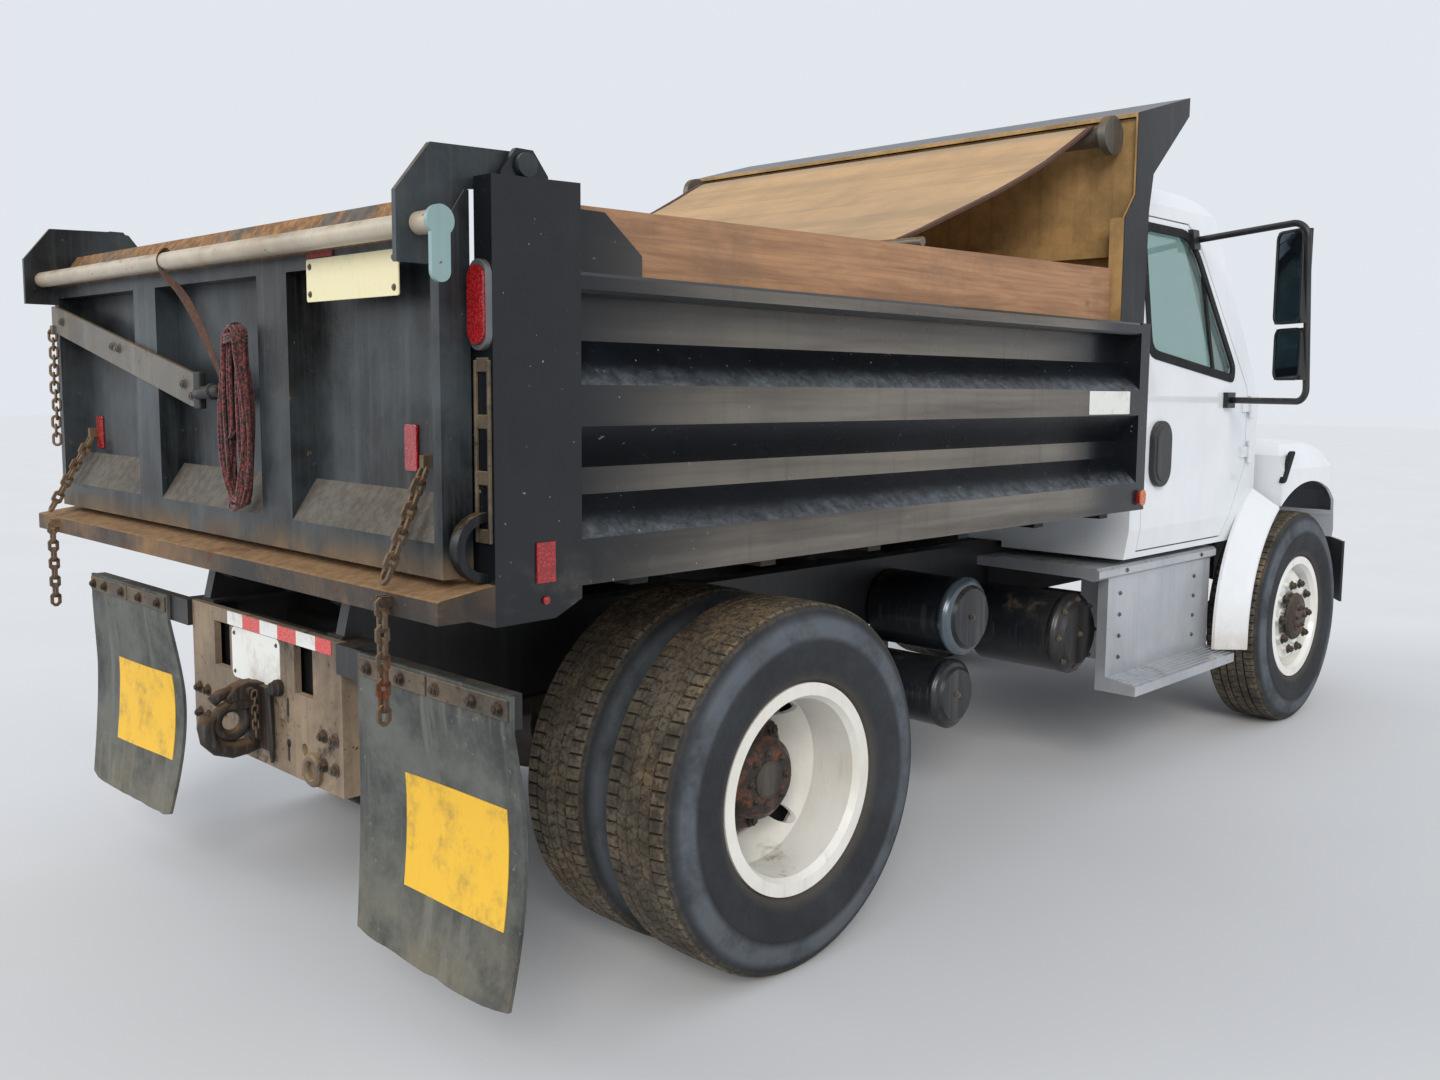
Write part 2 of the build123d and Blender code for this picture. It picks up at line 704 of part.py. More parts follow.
# Seats: a base, a cushion and a back for each
seat_half = 250
seat_y = 430
with BuildPart() as seats:
    cab_floor_top = cab_floor + cab_wall
    for side, side_name in SIDES:
        low_y, high_y = mirrored(side, seat_y - seat_half, seat_y + seat_half)
        seat_rear = cab_back + cab_wall + 150
        slab_y(
            [
                (seat_rear, cab_floor_top + seat_gap), (seat_rear + 470, cab_floor_top + seat_gap),
                (seat_rear + 520, 1250), (seat_rear + 510, 1350), (seat_rear + 130, 1320),
                (seat_rear + 40, 2010), (seat_rear - 60, 2010), (seat_rear - 10, 1300),
            ],
            low_y, high_y,
        )
seats.part.label = "seats"
export_step(seats.part, "parts/seats.step")

# Front bumper, a curved channel with swept-back ends
bumper_bottom = 510
bumper_top = 840
bumper_face = front_x + front_reach
bumper_thickness = 12
with BuildPart() as bumper:
    centre_x = bumper_face
    front_line = [
        (centre_x, 0), (centre_x, 620), (centre_x - 38, 840), (centre_x - 105, 985), (centre_x - 285, 1105),
        (centre_x - 293, 1096), (centre_x - 115, 974), (centre_x - 50, 833),
        (centre_x - bumper_thickness, 610),
        (centre_x - bumper_thickness, 0),
    ]
    slab_z(front_line, bumper_bottom, bumper_top)
    mirror(about=Plane.XZ)
    for side, side_name in SIDES:
        block(
            (frame_front - 200, centre_x - bumper_thickness),
            mirrored(side, rail_half + seat_gap, rail_half + 14),
            (bumper_bottom + 60, bumper_top - 10),
        )
        bracket = [
            (hood_hinge_x - 40, bumper_top - 60), (hood_hinge_x + 40, bumper_top - 60),
            (hood_hinge_x + 20, hood_hinge_z + 20), (hood_hinge_x - 20, hood_hinge_z + 20),
        ]
        slab_y(bracket, *mirrored(side, hood_arm_y - 21, hood_arm_y - 1))
        rod_y(
            hood_hinge_x, hood_hinge_z, hood_pin_radius + pin_gap,
            *mirrored(side, hood_arm_y - 21, hood_arm_y - 1), Mode.SUBTRACT,
        )
bumper.part.label = "bumper"
export_step(bumper.part, "parts/bumper.step")

# Mud flaps behind the rear wheels and the hangers that carry them
flap_inner = 590
flap_outer = 1240
flap_rear = rear_x - 1000
flap_thickness = 10
flap_bottom = 245
with BuildPart() as mud_flaps:
    for side, side_name in SIDES:
        low_y, high_y = mirrored(side, flap_inner, flap_outer)
        slab_y(
            [
                (flap_rear, flap_top), (flap_rear - 4, 640), (flap_rear - 22, flap_bottom),
                (flap_rear - 22 + flap_thickness, flap_bottom), (flap_rear - 4 + flap_thickness, 640),
                (flap_rear + flap_thickness, flap_top),
            ],
            low_y, high_y,
        )
mud_flaps.part.label = "mud_flaps"
export_step(mud_flaps.part, "parts/mud_flaps.step")

with BuildPart() as flap_hangers:
    hanger_x = flap_rear + flap_thickness + seat_gap
    for side, side_name in SIDES:
        block(
            (hanger_x, hanger_x + 30), mirrored(side, hitch_half + seat_gap, flap_outer - 15),
            (hanger_low, flap_top),
        )
        block(
            (hanger_x + 30, frame_rear + 60), mirrored(side, hitch_half + seat_gap, hitch_half + 60),
            (hanger_low, flap_top),
        )
        block(
            (frame_rear + 5, frame_rear + 60), mirrored(side, rail_half + seat_gap, hitch_half + 1),
            (hanger_low, flap_top),
        )
flap_hangers.part.label = "flap_hangers"
export_step(flap_hangers.part, "parts/flap_hangers.step")

# Bed hinge brackets on the rails with the hinge shaft, and the hoist's lower brackets
hinge_bracket = (rail_half - 45, rail_half)
with BuildPart() as bed_hinge:
    for side, side_name in SIDES:
        slab_y(
            [
                (hinge_x - 70, rail_top + seat_gap), (hinge_x + 170, rail_top + seat_gap),
                (hinge_x + 42, hinge_z + 10), (hinge_x + 25, hinge_z + 40), (hinge_x - 25, hinge_z + 40),
                (hinge_x - 42, hinge_z + 10),
            ],
            *mirrored(side, *hinge_bracket),
        )
    rod_y(hinge_x, hinge_z, hinge_radius, -rail_half - 15, rail_half + 15)
bed_hinge.part.label = "bed_hinge"
export_step(bed_hinge.part, "parts/bed_hinge.step")

# Hoist crossmember with two cheeks and the lower pin
barrel_radius = 75
barrel_eye_half = 48
cheek_thickness = 30
hoist_lean = atan2(hoist_eye_z - hoist_base_z, hoist_eye_x - hoist_base_x)
hoist_closed = hypot(hoist_eye_z - hoist_base_z, hoist_eye_x - hoist_base_x)
mount_bar_front = hoist_base_x - 80
cheek_inner = barrel_eye_half + 2
with BuildPart() as hoist_mount:
    block(
        (mount_bar_front - 80, mount_bar_front), (-web_inner + seat_gap, web_inner - seat_gap),
        (rail_bottom + 40, rail_bottom + 180),
    )
    for side, side_name in SIDES:
        slab_y(
            [
                (mount_bar_front - 60, rail_bottom + 120), (mount_bar_front - 5, rail_bottom + 120),
                (mount_bar_front - 5, hoist_base_z + 40), (hoist_base_x + 20, hoist_base_z + 45),
                (hoist_base_x + 45, hoist_base_z + 10), (hoist_base_x + 40, hoist_base_z - 35),
                (hoist_base_x - 40, hoist_base_z - 45), (mount_bar_front - 60, hoist_base_z + 60),
            ],
            *mirrored(side, cheek_inner, cheek_inner + cheek_thickness),
        )
    rod_y(
        hoist_base_x, hoist_base_z, hoist_pin_radius,
        -cheek_inner - cheek_thickness - 10, cheek_inner + cheek_thickness + 10,
    )
hoist_mount.part.label = "hoist_mount"
export_step(hoist_mount.part, "parts/hoist_mount.step")

# Hoist cylinder: a barrel on the lower pin and a rod that slides out of it
barrel_start = 60
barrel_length = 470
rod_radius = 38
eye_outer = 46
hoist_plane = Plane(
    origin=(hoist_base_x, 0, hoist_base_z), x_dir=(0, 1, 0), z_dir=(cos(hoist_lean), 0, sin(hoist_lean)),
)
with BuildPart() as hoist_barrel:
    with BuildSketch(hoist_plane.offset(barrel_start)):
        Circle(barrel_radius)
    extrude(amount=barrel_length)
    with BuildSketch(hoist_plane):
        Rectangle(2 * barrel_eye_half, 2 * eye_outer)
    extrude(amount=barrel_start + 5)
    rod_y(hoist_base_x, hoist_base_z, eye_outer, -barrel_eye_half, barrel_eye_half)
    rod_y(
        hoist_base_x, hoist_base_z, hoist_pin_radius + pin_gap, -barrel_eye_half, barrel_eye_half,
        Mode.SUBTRACT,
    )
    with BuildSketch(hoist_plane.offset(barrel_start + 25)):
        Circle(rod_radius + pin_gap)
    extrude(amount=barrel_length, mode=Mode.SUBTRACT)
hoist_barrel.part.label = "hoist_barrel"
export_step(hoist_barrel.part, "parts/hoist_barrel.step")

rod_eye_half = 34
rod_eye_bore = 26
rod_eye_outer = 38
with BuildPart() as hoist_rod:
    with BuildSketch(hoist_plane.offset(barrel_start + 30)):
        Circle(rod_radius)
    extrude(amount=hoist_closed - barrel_start - 30 - 30)
    rod_y(hoist_eye_x, hoist_eye_z, rod_eye_outer, -rod_eye_half, rod_eye_half)
    rod_y(hoist_eye_x, hoist_eye_z, rod_eye_bore, -rod_eye_half, rod_eye_half, Mode.SUBTRACT)
hoist_rod.part.label = "hoist_rod"
export_step(hoist_rod.part, "parts/hoist_rod.step")

# Bed floor: plate, crossmembers, two long sills hinged at the rear, and the hoist's upper bracket
FLOOR_CROSS_COUNT = 7
floor_bottom = floor_top - floor_thickness
cross_bottom = floor_bottom - cross_height
floor_front = bulkhead_x + 12
cross_pitch = (floor_front - body_rear - 60) / (FLOOR_CROSS_COUNT - 1)
hoist_pocket = (hoist_eye_x - 90, hoist_eye_x + 90)
with BuildPart() as bed_floor:
    block(
        (body_rear, floor_front), (-side_inner + seat_gap, side_inner - seat_gap), (floor_bottom, floor_top),
    )
    for number in range(FLOOR_CROSS_COUNT):
        cross_x = body_rear + 30 + number * cross_pitch
        block(
            (cross_x - 30, cross_x + 30), (-side_inner + seat_gap, side_inner - seat_gap),
            (cross_bottom, floor_bottom),
        )
    for side, side_name in SIDES:
        span = mirrored(side, sill_inner, sill_inner + sill_width)
        block((hinge_x, bulkhead_x), span, (sill_bottom, floor_bottom))
        rod_y(hinge_x, hinge_z, hinge_z - sill_bottom, *span)
        block((hinge_x - 50, hinge_x), span, (hinge_z, floor_bottom))
        rod_y(hinge_x, hinge_z, hinge_radius + pin_gap, *span, Mode.SUBTRACT)
    block(
        (hoist_pocket[0] - 60, hoist_pocket[0] - 10), (-sill_inner, sill_inner),
        (sill_bottom + 30, floor_bottom),
    )
    block(
        (hoist_pocket[1] + 10, hoist_pocket[1] + 60), (-sill_inner, sill_inner),
        (sill_bottom + 30, floor_bottom),
    )
    block(
        (hoist_pocket[0] - 10, hoist_pocket[1] + 10), (-sill_inner, sill_inner),
        (cross_bottom, floor_bottom), Mode.SUBTRACT,
    )
    for side, side_name in SIDES:
        block(
            (hoist_pocket[0] - 10, hoist_pocket[1] + 10), mirrored(side, rod_radius + 8, rod_radius + 30),
            (sill_bottom + 30, floor_bottom),
        )
    block(
        (hoist_pocket[0] - 70, hoist_pocket[0] - 5), (-barrel_radius - 20, barrel_radius + 20),
        (sill_bottom, cross_bottom), Mode.SUBTRACT,
    )
    rod_y(hoist_eye_x, hoist_eye_z, 4, -rod_radius - 10, rod_radius + 10)
bed_floor.part.label = "bed_floor"
export_step(bed_floor.part, "parts/bed_floor.step")

# Bed sides, one ribbed panel with its corner post on each side, columns: depth from the outer face, z
rib_depth = 100
SIDE_PROFILE = (
    (0, side_bottom), (0, 1292), (rib_depth, 1383), (rib_depth, 1447), (0, 1547), (0, 1640),
    (rib_depth, 1742), (rib_depth, 1812), (rib_depth, side_top - 46), (8, side_top - 46), (0, side_top - 38),
    (0, side_top - 8), (8, side_top), (side_thickness, side_top), (side_thickness, side_bottom),
)
front_post_width = 70
with BuildPart() as bed_sides:
    for side, side_name in SIDES:
        profile = [(side * (body_half - depth), z) for depth, z in SIDE_PROFILE]
        slab_x(profile, body_rear + post_width - 20, body_front)
        full = mirrored(side, side_inner, body_half)
        block((body_front - front_post_width, body_front), full, (side_bottom, side_top))
        post = [
            (body_rear, post_bottom), (body_rear + 160, post_bottom + 2),
            (body_rear + post_width, post_bottom + 38),
            (body_rear + post_width, side_top), (body_rear, side_top),
        ]
        slab_y(post, *full)
        post_upper = [
            (body_rear, side_top - 10), (body_rear + post_width, side_top - 10),
            (body_rear + post_width, post_top + 8), (body_rear, post_top),
        ]
        slab_y(post_upper, *mirrored(side, body_half - post_upper_thickness, body_half))
        lug_span = mirrored(side, gate_half + 5, gate_half + 20)
        lug = [
            (gate_pin_x - 80, side_top), (gate_pin_x + 80, side_top), (gate_pin_x + 62, post_top + 20),
            (gate_pin_x + 22, gate_pin_z + 34), (gate_pin_x - 22, gate_pin_z + 34),
            (gate_pin_x - 62, post_top + 20),
        ]
        slab_y(lug, *lug_span)
        rod_y(gate_pin_x, gate_pin_z, gate_pin_radius + pin_gap, *lug_span, Mode.SUBTRACT)
        gusset = [
            (body_rear + post_width, side_top - 5), (body_rear + post_width, 2035),
            (body_rear + post_width + 117, 2035),
            (body_rear + post_width + 231, 1945), (body_rear + post_width + 231, side_top - 5),
        ]
        slab_y(gusset, *mirrored(side, gate_half + 1, gate_half + 11))
bed_sides.part.label = "bed_sides"
export_step(bed_sides.part, "parts/bed_sides.step")

# Wooden sideboards on top of the bed sides
board_thickness = 38
board_outer = body_half - 69
board_rear = body_rear + post_width + 12
board_front = rear_x + 1745
with BuildPart() as sideboards:
    for side, side_name in SIDES:
        board = [
            (board_rear, side_top + seat_gap), (board_front, side_top + seat_gap),
            (board_front, 2086), (board_rear, 2045),
        ]
        slab_y(board, *mirrored(side, board_outer - board_thickness, board_outer))
sideboards.part.label = "sideboards"
export_step(sideboards.part, "parts/sideboards.step")

# Bulkhead with its ledge and the cab shield above it
bulkhead_thickness = 12
ledge_z = 2195
cheek_top = ledge_z + 75
shield_root_x = rear_x + 1840
shield_root_z = bulkhead_top + 15
shield_lip = 70
SHIELD_SIDE = (
    (rear_x + 1765, side_top + seat_gap), (body_front, side_top + seat_gap), (body_front + 5, cheek_top + 40),
    (body_front + 30, cheek_top + 180), (shield_front, shield_top - shield_lip), (shield_front, shield_top),
    (shield_root_x, shield_root_z), (shield_root_x, cheek_top + 90), (rear_x + 1765, cheek_top),
)
with BuildPart() as bulkhead:
    sheet_span = (bulkhead_x, bulkhead_x + bulkhead_thickness)
    block(sheet_span, (-side_inner + seat_gap, side_inner - seat_gap), (floor_top + seat_gap, side_top))
    block(sheet_span, (-shield_half, shield_half), (side_top + seat_gap, bulkhead_top))
    block((bulkhead_x - 45, bulkhead_x), (-shield_half + 10, shield_half - 10), (ledge_z - 60, ledge_z))
    for side, side_name in SIDES:
        slab_y(SHIELD_SIDE, *mirrored(side, shield_half - 10, shield_half))
        block((rear_x + 1765, bulkhead_x), mirrored(side, shield_half - 60, shield_half),
              (side_top + seat_gap, cheek_top))
    slab_y(
        [
            (shield_root_x, shield_root_z), (shield_front, shield_top),
            (shield_front, shield_top - shield_lip),
            (shield_front - 10, shield_top - shield_lip), (shield_front - 10, shield_top - 14),
            (shield_root_x, shield_root_z - 14),
        ],
        -shield_half, shield_half,
    )
    for rib_z in (1500, 1800, 2350):
        block((bulkhead_x + bulkhead_thickness, body_front - 5), (-900, 900), (rib_z, rib_z + 60))
bulkhead.part.label = "bulkhead"
export_step(bulkhead.part, "parts/bulkhead.step")

# Spreader chains: link size, where each upper run starts and ends, and the peg that holds each loose end
link_wire = 9
link_long = 48
link_wide = 32
link_pitch = link_long - 2 * link_wire - 0.5
apron_rear = rear_x - 1165
gate_recess = gate_inner - gate_skin
chain_top = (gate_recess - 20, gate_half - 142, 1452)
chain_edge = (apron_rear - 18, gate_half - 110, 1215)
tail_peg = (apron_rear - 18, gate_half - 120, 1168)
peg_radius = 5
tail_drop = link_long / 2 - link_wire - peg_radius - pin_gap
tail_links = 9

# Apron behind the floor, below the tailgate, with two lugs and a peg for each loose chain end
with BuildPart() as rear_apron:
    slab_y(
        [
            (apron_rear, 1142), (apron_rear, 1190), (apron_rear + 8, 1193),
            (body_rear - seat_gap, gate_bottom - 12),
            (body_rear - seat_gap, 1142),
        ],
        -body_half, body_half,
    )
    for side, side_name in SIDES:
        rod_y(*tail_peg[::2], peg_radius, *mirrored(side, tail_peg[1] - 13, tail_peg[1] + 13))
        for lug_y in (tail_peg[1] - 10, tail_peg[1] + 10):
            block((apron_rear - 25, apron_rear + 2), mirrored(side, lug_y - 3, lug_y + 3), (1160, 1185))
rear_apron.part.label = "rear_apron"
export_step(rear_apron.part, "parts/rear_apron.step")

# Tarp roller across the bulkhead's top, the mesh tarp and its pull bar
roller_x = rear_x + 1790
roller_z = 2575
roller_radius = 38
roller_end = 70
roller_half = shield_half - 80
bar_half = gate_half - 5
with BuildPart() as tarp_roller:
    rod_y(roller_x, roller_z, roller_radius, -roller_half, roller_half)
    for side, side_name in SIDES:
        rod_y(roller_x, roller_z, roller_end, *mirrored(side, roller_half - 20, roller_half + 10))
        block(
            (roller_x, bulkhead_x - seat_gap), mirrored(side, roller_half - 15, roller_half + 5),
            (roller_z - 40, roller_z + 40),
        )
    bar_x = rear_x + 585
    bar_z = 2066 + 16
    rod_y(bar_x, bar_z, 14, -bar_half, bar_half)
tarp_roller.part.label = "tarp_roller"
export_step(tarp_roller.part, "parts/tarp_roller.step")

tarp_thickness = 12
tarp_half = gate_half - 100
TARP_LINE = (
    (roller_x - 30, roller_z + 36), (rear_x + 1462, 2449), (rear_x + 1147, 2308), (rear_x + 859, 2196),
    (bar_x + 16, bar_z + 12),
)
with BuildPart() as tarp:
    lower = [(x, z - tarp_thickness) for x, z in TARP_LINE[::-1]]
    slab_y(list(TARP_LINE) + lower, -tarp_half, tarp_half)
tarp.part.label = "tarp"
export_step(tarp.part, "parts/tarp.step")

# Lamps on the bed: ovals on the posts, red plates on their outer faces, amber markers at the front
lamp_y = body_half - 32
with BuildPart() as bed_lamps:
    for side, side_name in SIDES:
        with BuildSketch(Plane.YZ.offset(body_rear - 22)) as oval:
            with Locations((side * lamp_y, 1805)):
                SlotOverall(165, 58, rotation=90)
        extrude(oval.sketch, amount=22 - seat_gap)
        block((rear_x - 915, rear_x - 865), mirrored(side, body_half + seat_gap, body_half + 5), (1205, 1295))
        block(
            (rear_x + 1885, rear_x + 1925), mirrored(side, body_half + seat_gap, body_half + 14),
            (1215, 1255),
        )
bed_lamps.part.label = "bed_lamps"
export_step(bed_lamps.part, "parts/bed_lamps.step")

# Lower latch fingers on the posts
latch_z = 1290
with BuildPart() as latch_hooks:
    for side, side_name in SIDES:
        near, far = mirrored(side, gate_half + 12, gate_half + 42)
        with BuildSketch(Plane.XZ.offset(-far)) as finger:
            with Locations((body_rear - seat_gap, latch_z)):
                Circle(76)
                Circle(56, mode=Mode.SUBTRACT)
            with Locations((body_rear - seat_gap + 100, latch_z)):
                Rectangle(200, 300, mode=Mode.SUBTRACT)
        extrude(finger.sketch, amount=far - near)
latch_hooks.part.label = "latch_hooks"
export_step(latch_hooks.part, "parts/latch_hooks.step")

# Tailgate: skin, sloped rails, end rails, two ribs and the hinge plates
rib_centre = 400
rib_half = 80
end_rail = 32
ledge_half = rib_centre - rib_half
GATE_PROFILE = (
    (gate_inner, gate_bottom), (gate_face, gate_bottom), (gate_face, 1300), (gate_inner - gate_skin, 1400),
    (gate_inner - gate_skin, 1905), (gate_face, 1905), (gate_face, 1945), (gate_inner - gate_skin, gate_top),
    (gate_inner, gate_top),
)
EAR = (
    (ear_rear, 1885), (ear_rear, 2028), (ear_rear + 82, 2132), (gate_pin_x - 10, gate_pin_z + 30),
    (gate_pin_x + 30, gate_pin_z + 22), (gate_pin_x + 62, gate_pin_z - 18),
    (gate_pin_x + 30, gate_pin_z - 46),
    (gate_inner, gate_pin_z - 62), (gate_inner, 1885),
)
with BuildPart() as gate_panel:
    slab_y(GATE_PROFILE, -gate_half, gate_half)
    rib_depth_span = (gate_face, gate_inner - gate_skin)
    for side, side_name in SIDES:
        block(rib_depth_span, mirrored(side, gate_half - end_rail, gate_half), (1290, 1910))
        block(rib_depth_span, mirrored(side, rib_centre - rib_half, rib_centre + rib_half), (1290, 1910))
        slab_y(EAR, *mirrored(side, ear_outer - ear_thickness, ear_outer))
        pin_span = mirrored(side, ear_outer - ear_thickness, gate_half + 21)
        rod_y(gate_pin_x, gate_pin_z, gate_pin_radius, *pin_span)
        rod_y(gate_pin_x, gate_pin_z, 26, *mirrored(side, gate_half + 20 + pin_gap, gate_half + 32))
    block((gate_inner - gate_skin - 42, gate_inner - gate_skin), (-ledge_half, ledge_half), (1606, 1622))
    rod_y(pipe_x, pipe_z, pipe_radius + seat_gap, -gate_half, gate_half, Mode.SUBTRACT)
gate_panel.part.label = "gate_panel"
export_step(gate_panel.part, "parts/gate_panel.step")

# Pipe across the tailgate's hinge plates, with a round end plate and a hanging lever
lever_width = 44
lever_drop = 100
pipe_end = gate_half + 62
with BuildPart() as gate_pipe:
    rod_y(pipe_x, pipe_z, pipe_radius, -pipe_end, pipe_end)
    with BuildSketch(Plane.XZ.offset(pipe_end)):
        with Locations((pipe_x, pipe_z)):
            Circle(32)
        with Locations((pipe_x, pipe_z - lever_drop / 2)):
            Rectangle(lever_width, lever_drop)
        with Locations((pipe_x, pipe_z - lever_drop)):
            Circle(lever_width / 2)
    extrude(amount=12)
gate_pipe.part.label = "gate_pipe"
export_step(gate_pipe.part, "parts/gate_pipe.step")

# Flat bar that slants across the tailgate from its left hinge plate
bar_rear = gate_face - seat_gap - 12
with BuildPart() as diagonal_bar:
    slab_x(
        [
            (gate_half - 2, 1880), (gate_half - 30, 1880), (20, 1655), (25, 1575), (60, 1570),
            (gate_half - 2, 1800),
        ],
        bar_rear, bar_rear + 12,
    )
diagonal_bar.part.label = "diagonal_bar"
export_step(diagonal_bar.part, "parts/diagonal_bar.step")


# One chain link, a rounded ring of square wire, long in its local X


def chain_link(centre, direction, turned):
    """A ring of chain wire, centred on a point and turned by a quarter about its own length when asked."""
    across = (0, 1, 0) if turned else Vector(*direction).cross(Vector(0, 1, 0)).normalized()
    face = Plane(origin=centre, x_dir=direction, z_dir=across)
    cut = 11
    with BuildSketch(face.offset(-link_wire / 2)) as ring:
        Rectangle(link_long, link_wide)
        chamfer(ring.vertices(), cut)
        with BuildSketch(mode=Mode.SUBTRACT) as hole:
            Rectangle(link_long - 2 * link_wire, link_wide - 2 * link_wire)
            chamfer(hole.vertices(), 5)
    extrude(ring.sketch, amount=link_wire)


def chain_run(start, end):
    """Links spaced along a straight run between two points, alternate ones turned."""
    run = Vector(*end) - Vector(*start)
    count = max(2, int(run.length / link_pitch))
    direction = run.normalized()
    for number in range(count):
        spot = Vector(*start) + direction * (link_pitch * (number + 0.5))
        chain_link(spot, direction, number % 2 == 1)


with BuildPart() as gate_chains:
    for side, side_name in SIDES:
        run_start = (chain_top[0], side * chain_top[1], chain_top[2])
        run_end = (chain_edge[0], side * chain_edge[1], chain_edge[2])
        chain_run(run_start, run_end)
        block(
            (gate_recess - 26, gate_recess - seat_gap), mirrored(side, chain_top[1] - 8, chain_top[1] + 8),
            (chain_top[2] + 2, chain_top[2] + 30),
        )
gate_chains.part.label = "gate_chains"
export_step(gate_chains.part, "parts/gate_chains.step")

with BuildPart() as chain_tails:
    for side, side_name in SIDES:
        for number in range(tail_links):
            chain_link(
                (tail_peg[0], side * tail_peg[1], tail_peg[2] - tail_drop - link_pitch * number),
                (0, 0, -1), number % 2 == 0,
            )
chain_tails.part.label = "chain_tails"
export_step(chain_tails.part, "parts/chain_tails.step")

# Rope hank that hangs on the tailgate
hank_y = -250
hank_top = 1800
hank_bottom = 1290
with BuildPart() as rope_hank:
    with BuildSketch(Plane.YZ.offset(gate_face - seat_gap - 50)):
        with Locations((hank_y, (hank_top + hank_bottom) / 2)):
            Ellipse(78, (hank_top - hank_bottom) / 2)
            Ellipse(30, (hank_top - hank_bottom) / 2 - 60, mode=Mode.SUBTRACT)
    extrude(amount=50)
rope_hank.part.label = "rope_hank"
export_step(rope_hank.part, "parts/rope_hank.step")


# Wheels. A tyre outline across its axle, columns: half width share, radius
def tyre_ring(centre_y, centre_x):
    """A plain tyre, revolved about its axle."""
    half = tyre_width / 2
    bead = rim_width / 2 - seat_gap
    outline = [
        (-bead, rim_radius + seat_gap), (-bead, flange_radius + seat_gap), (-bead - 14, flange_radius + 10),
        (-half, 400), (-half + 8, 470), (-half + 34, tyre_radius - 6), (-half + 60, tyre_radius),
        (half - 60, tyre_radius), (half - 34, tyre_radius - 6), (half - 8, 470), (half, 400),
        (bead + 14, flange_radius + 10), (bead, flange_radius + seat_gap), (bead, rim_radius + seat_gap),
    ]
    axle = Plane(origin=(centre_x, centre_y, wheel_z), x_dir=(0, 1, 0), z_dir=(1, 0, 0))
    with BuildSketch(axle) as section:
        with BuildLine():
            Polyline(*outline, close=True)
        make_face()
    revolve(section.sketch, axis=Axis((centre_x, centre_y, wheel_z), (0, 1, 0)), revolution_arc=360)


def spin_ring(outline, centre_x, centre_y, mode=Mode.ADD):
    """A turned piece about the wheel's axle, from points of offset along Y and radius."""
    axle = Plane(origin=(centre_x, centre_y, wheel_z), x_dir=(0, 1, 0), z_dir=(1, 0, 0))
    with BuildSketch(axle) as section:
        with BuildLine():
            Polyline(*outline, close=True)
        make_face()
    spin_axis = Axis((centre_x, centre_y, wheel_z), (0, 1, 0))
    revolve(section.sketch, axis=spin_axis, revolution_arc=360, mode=mode)


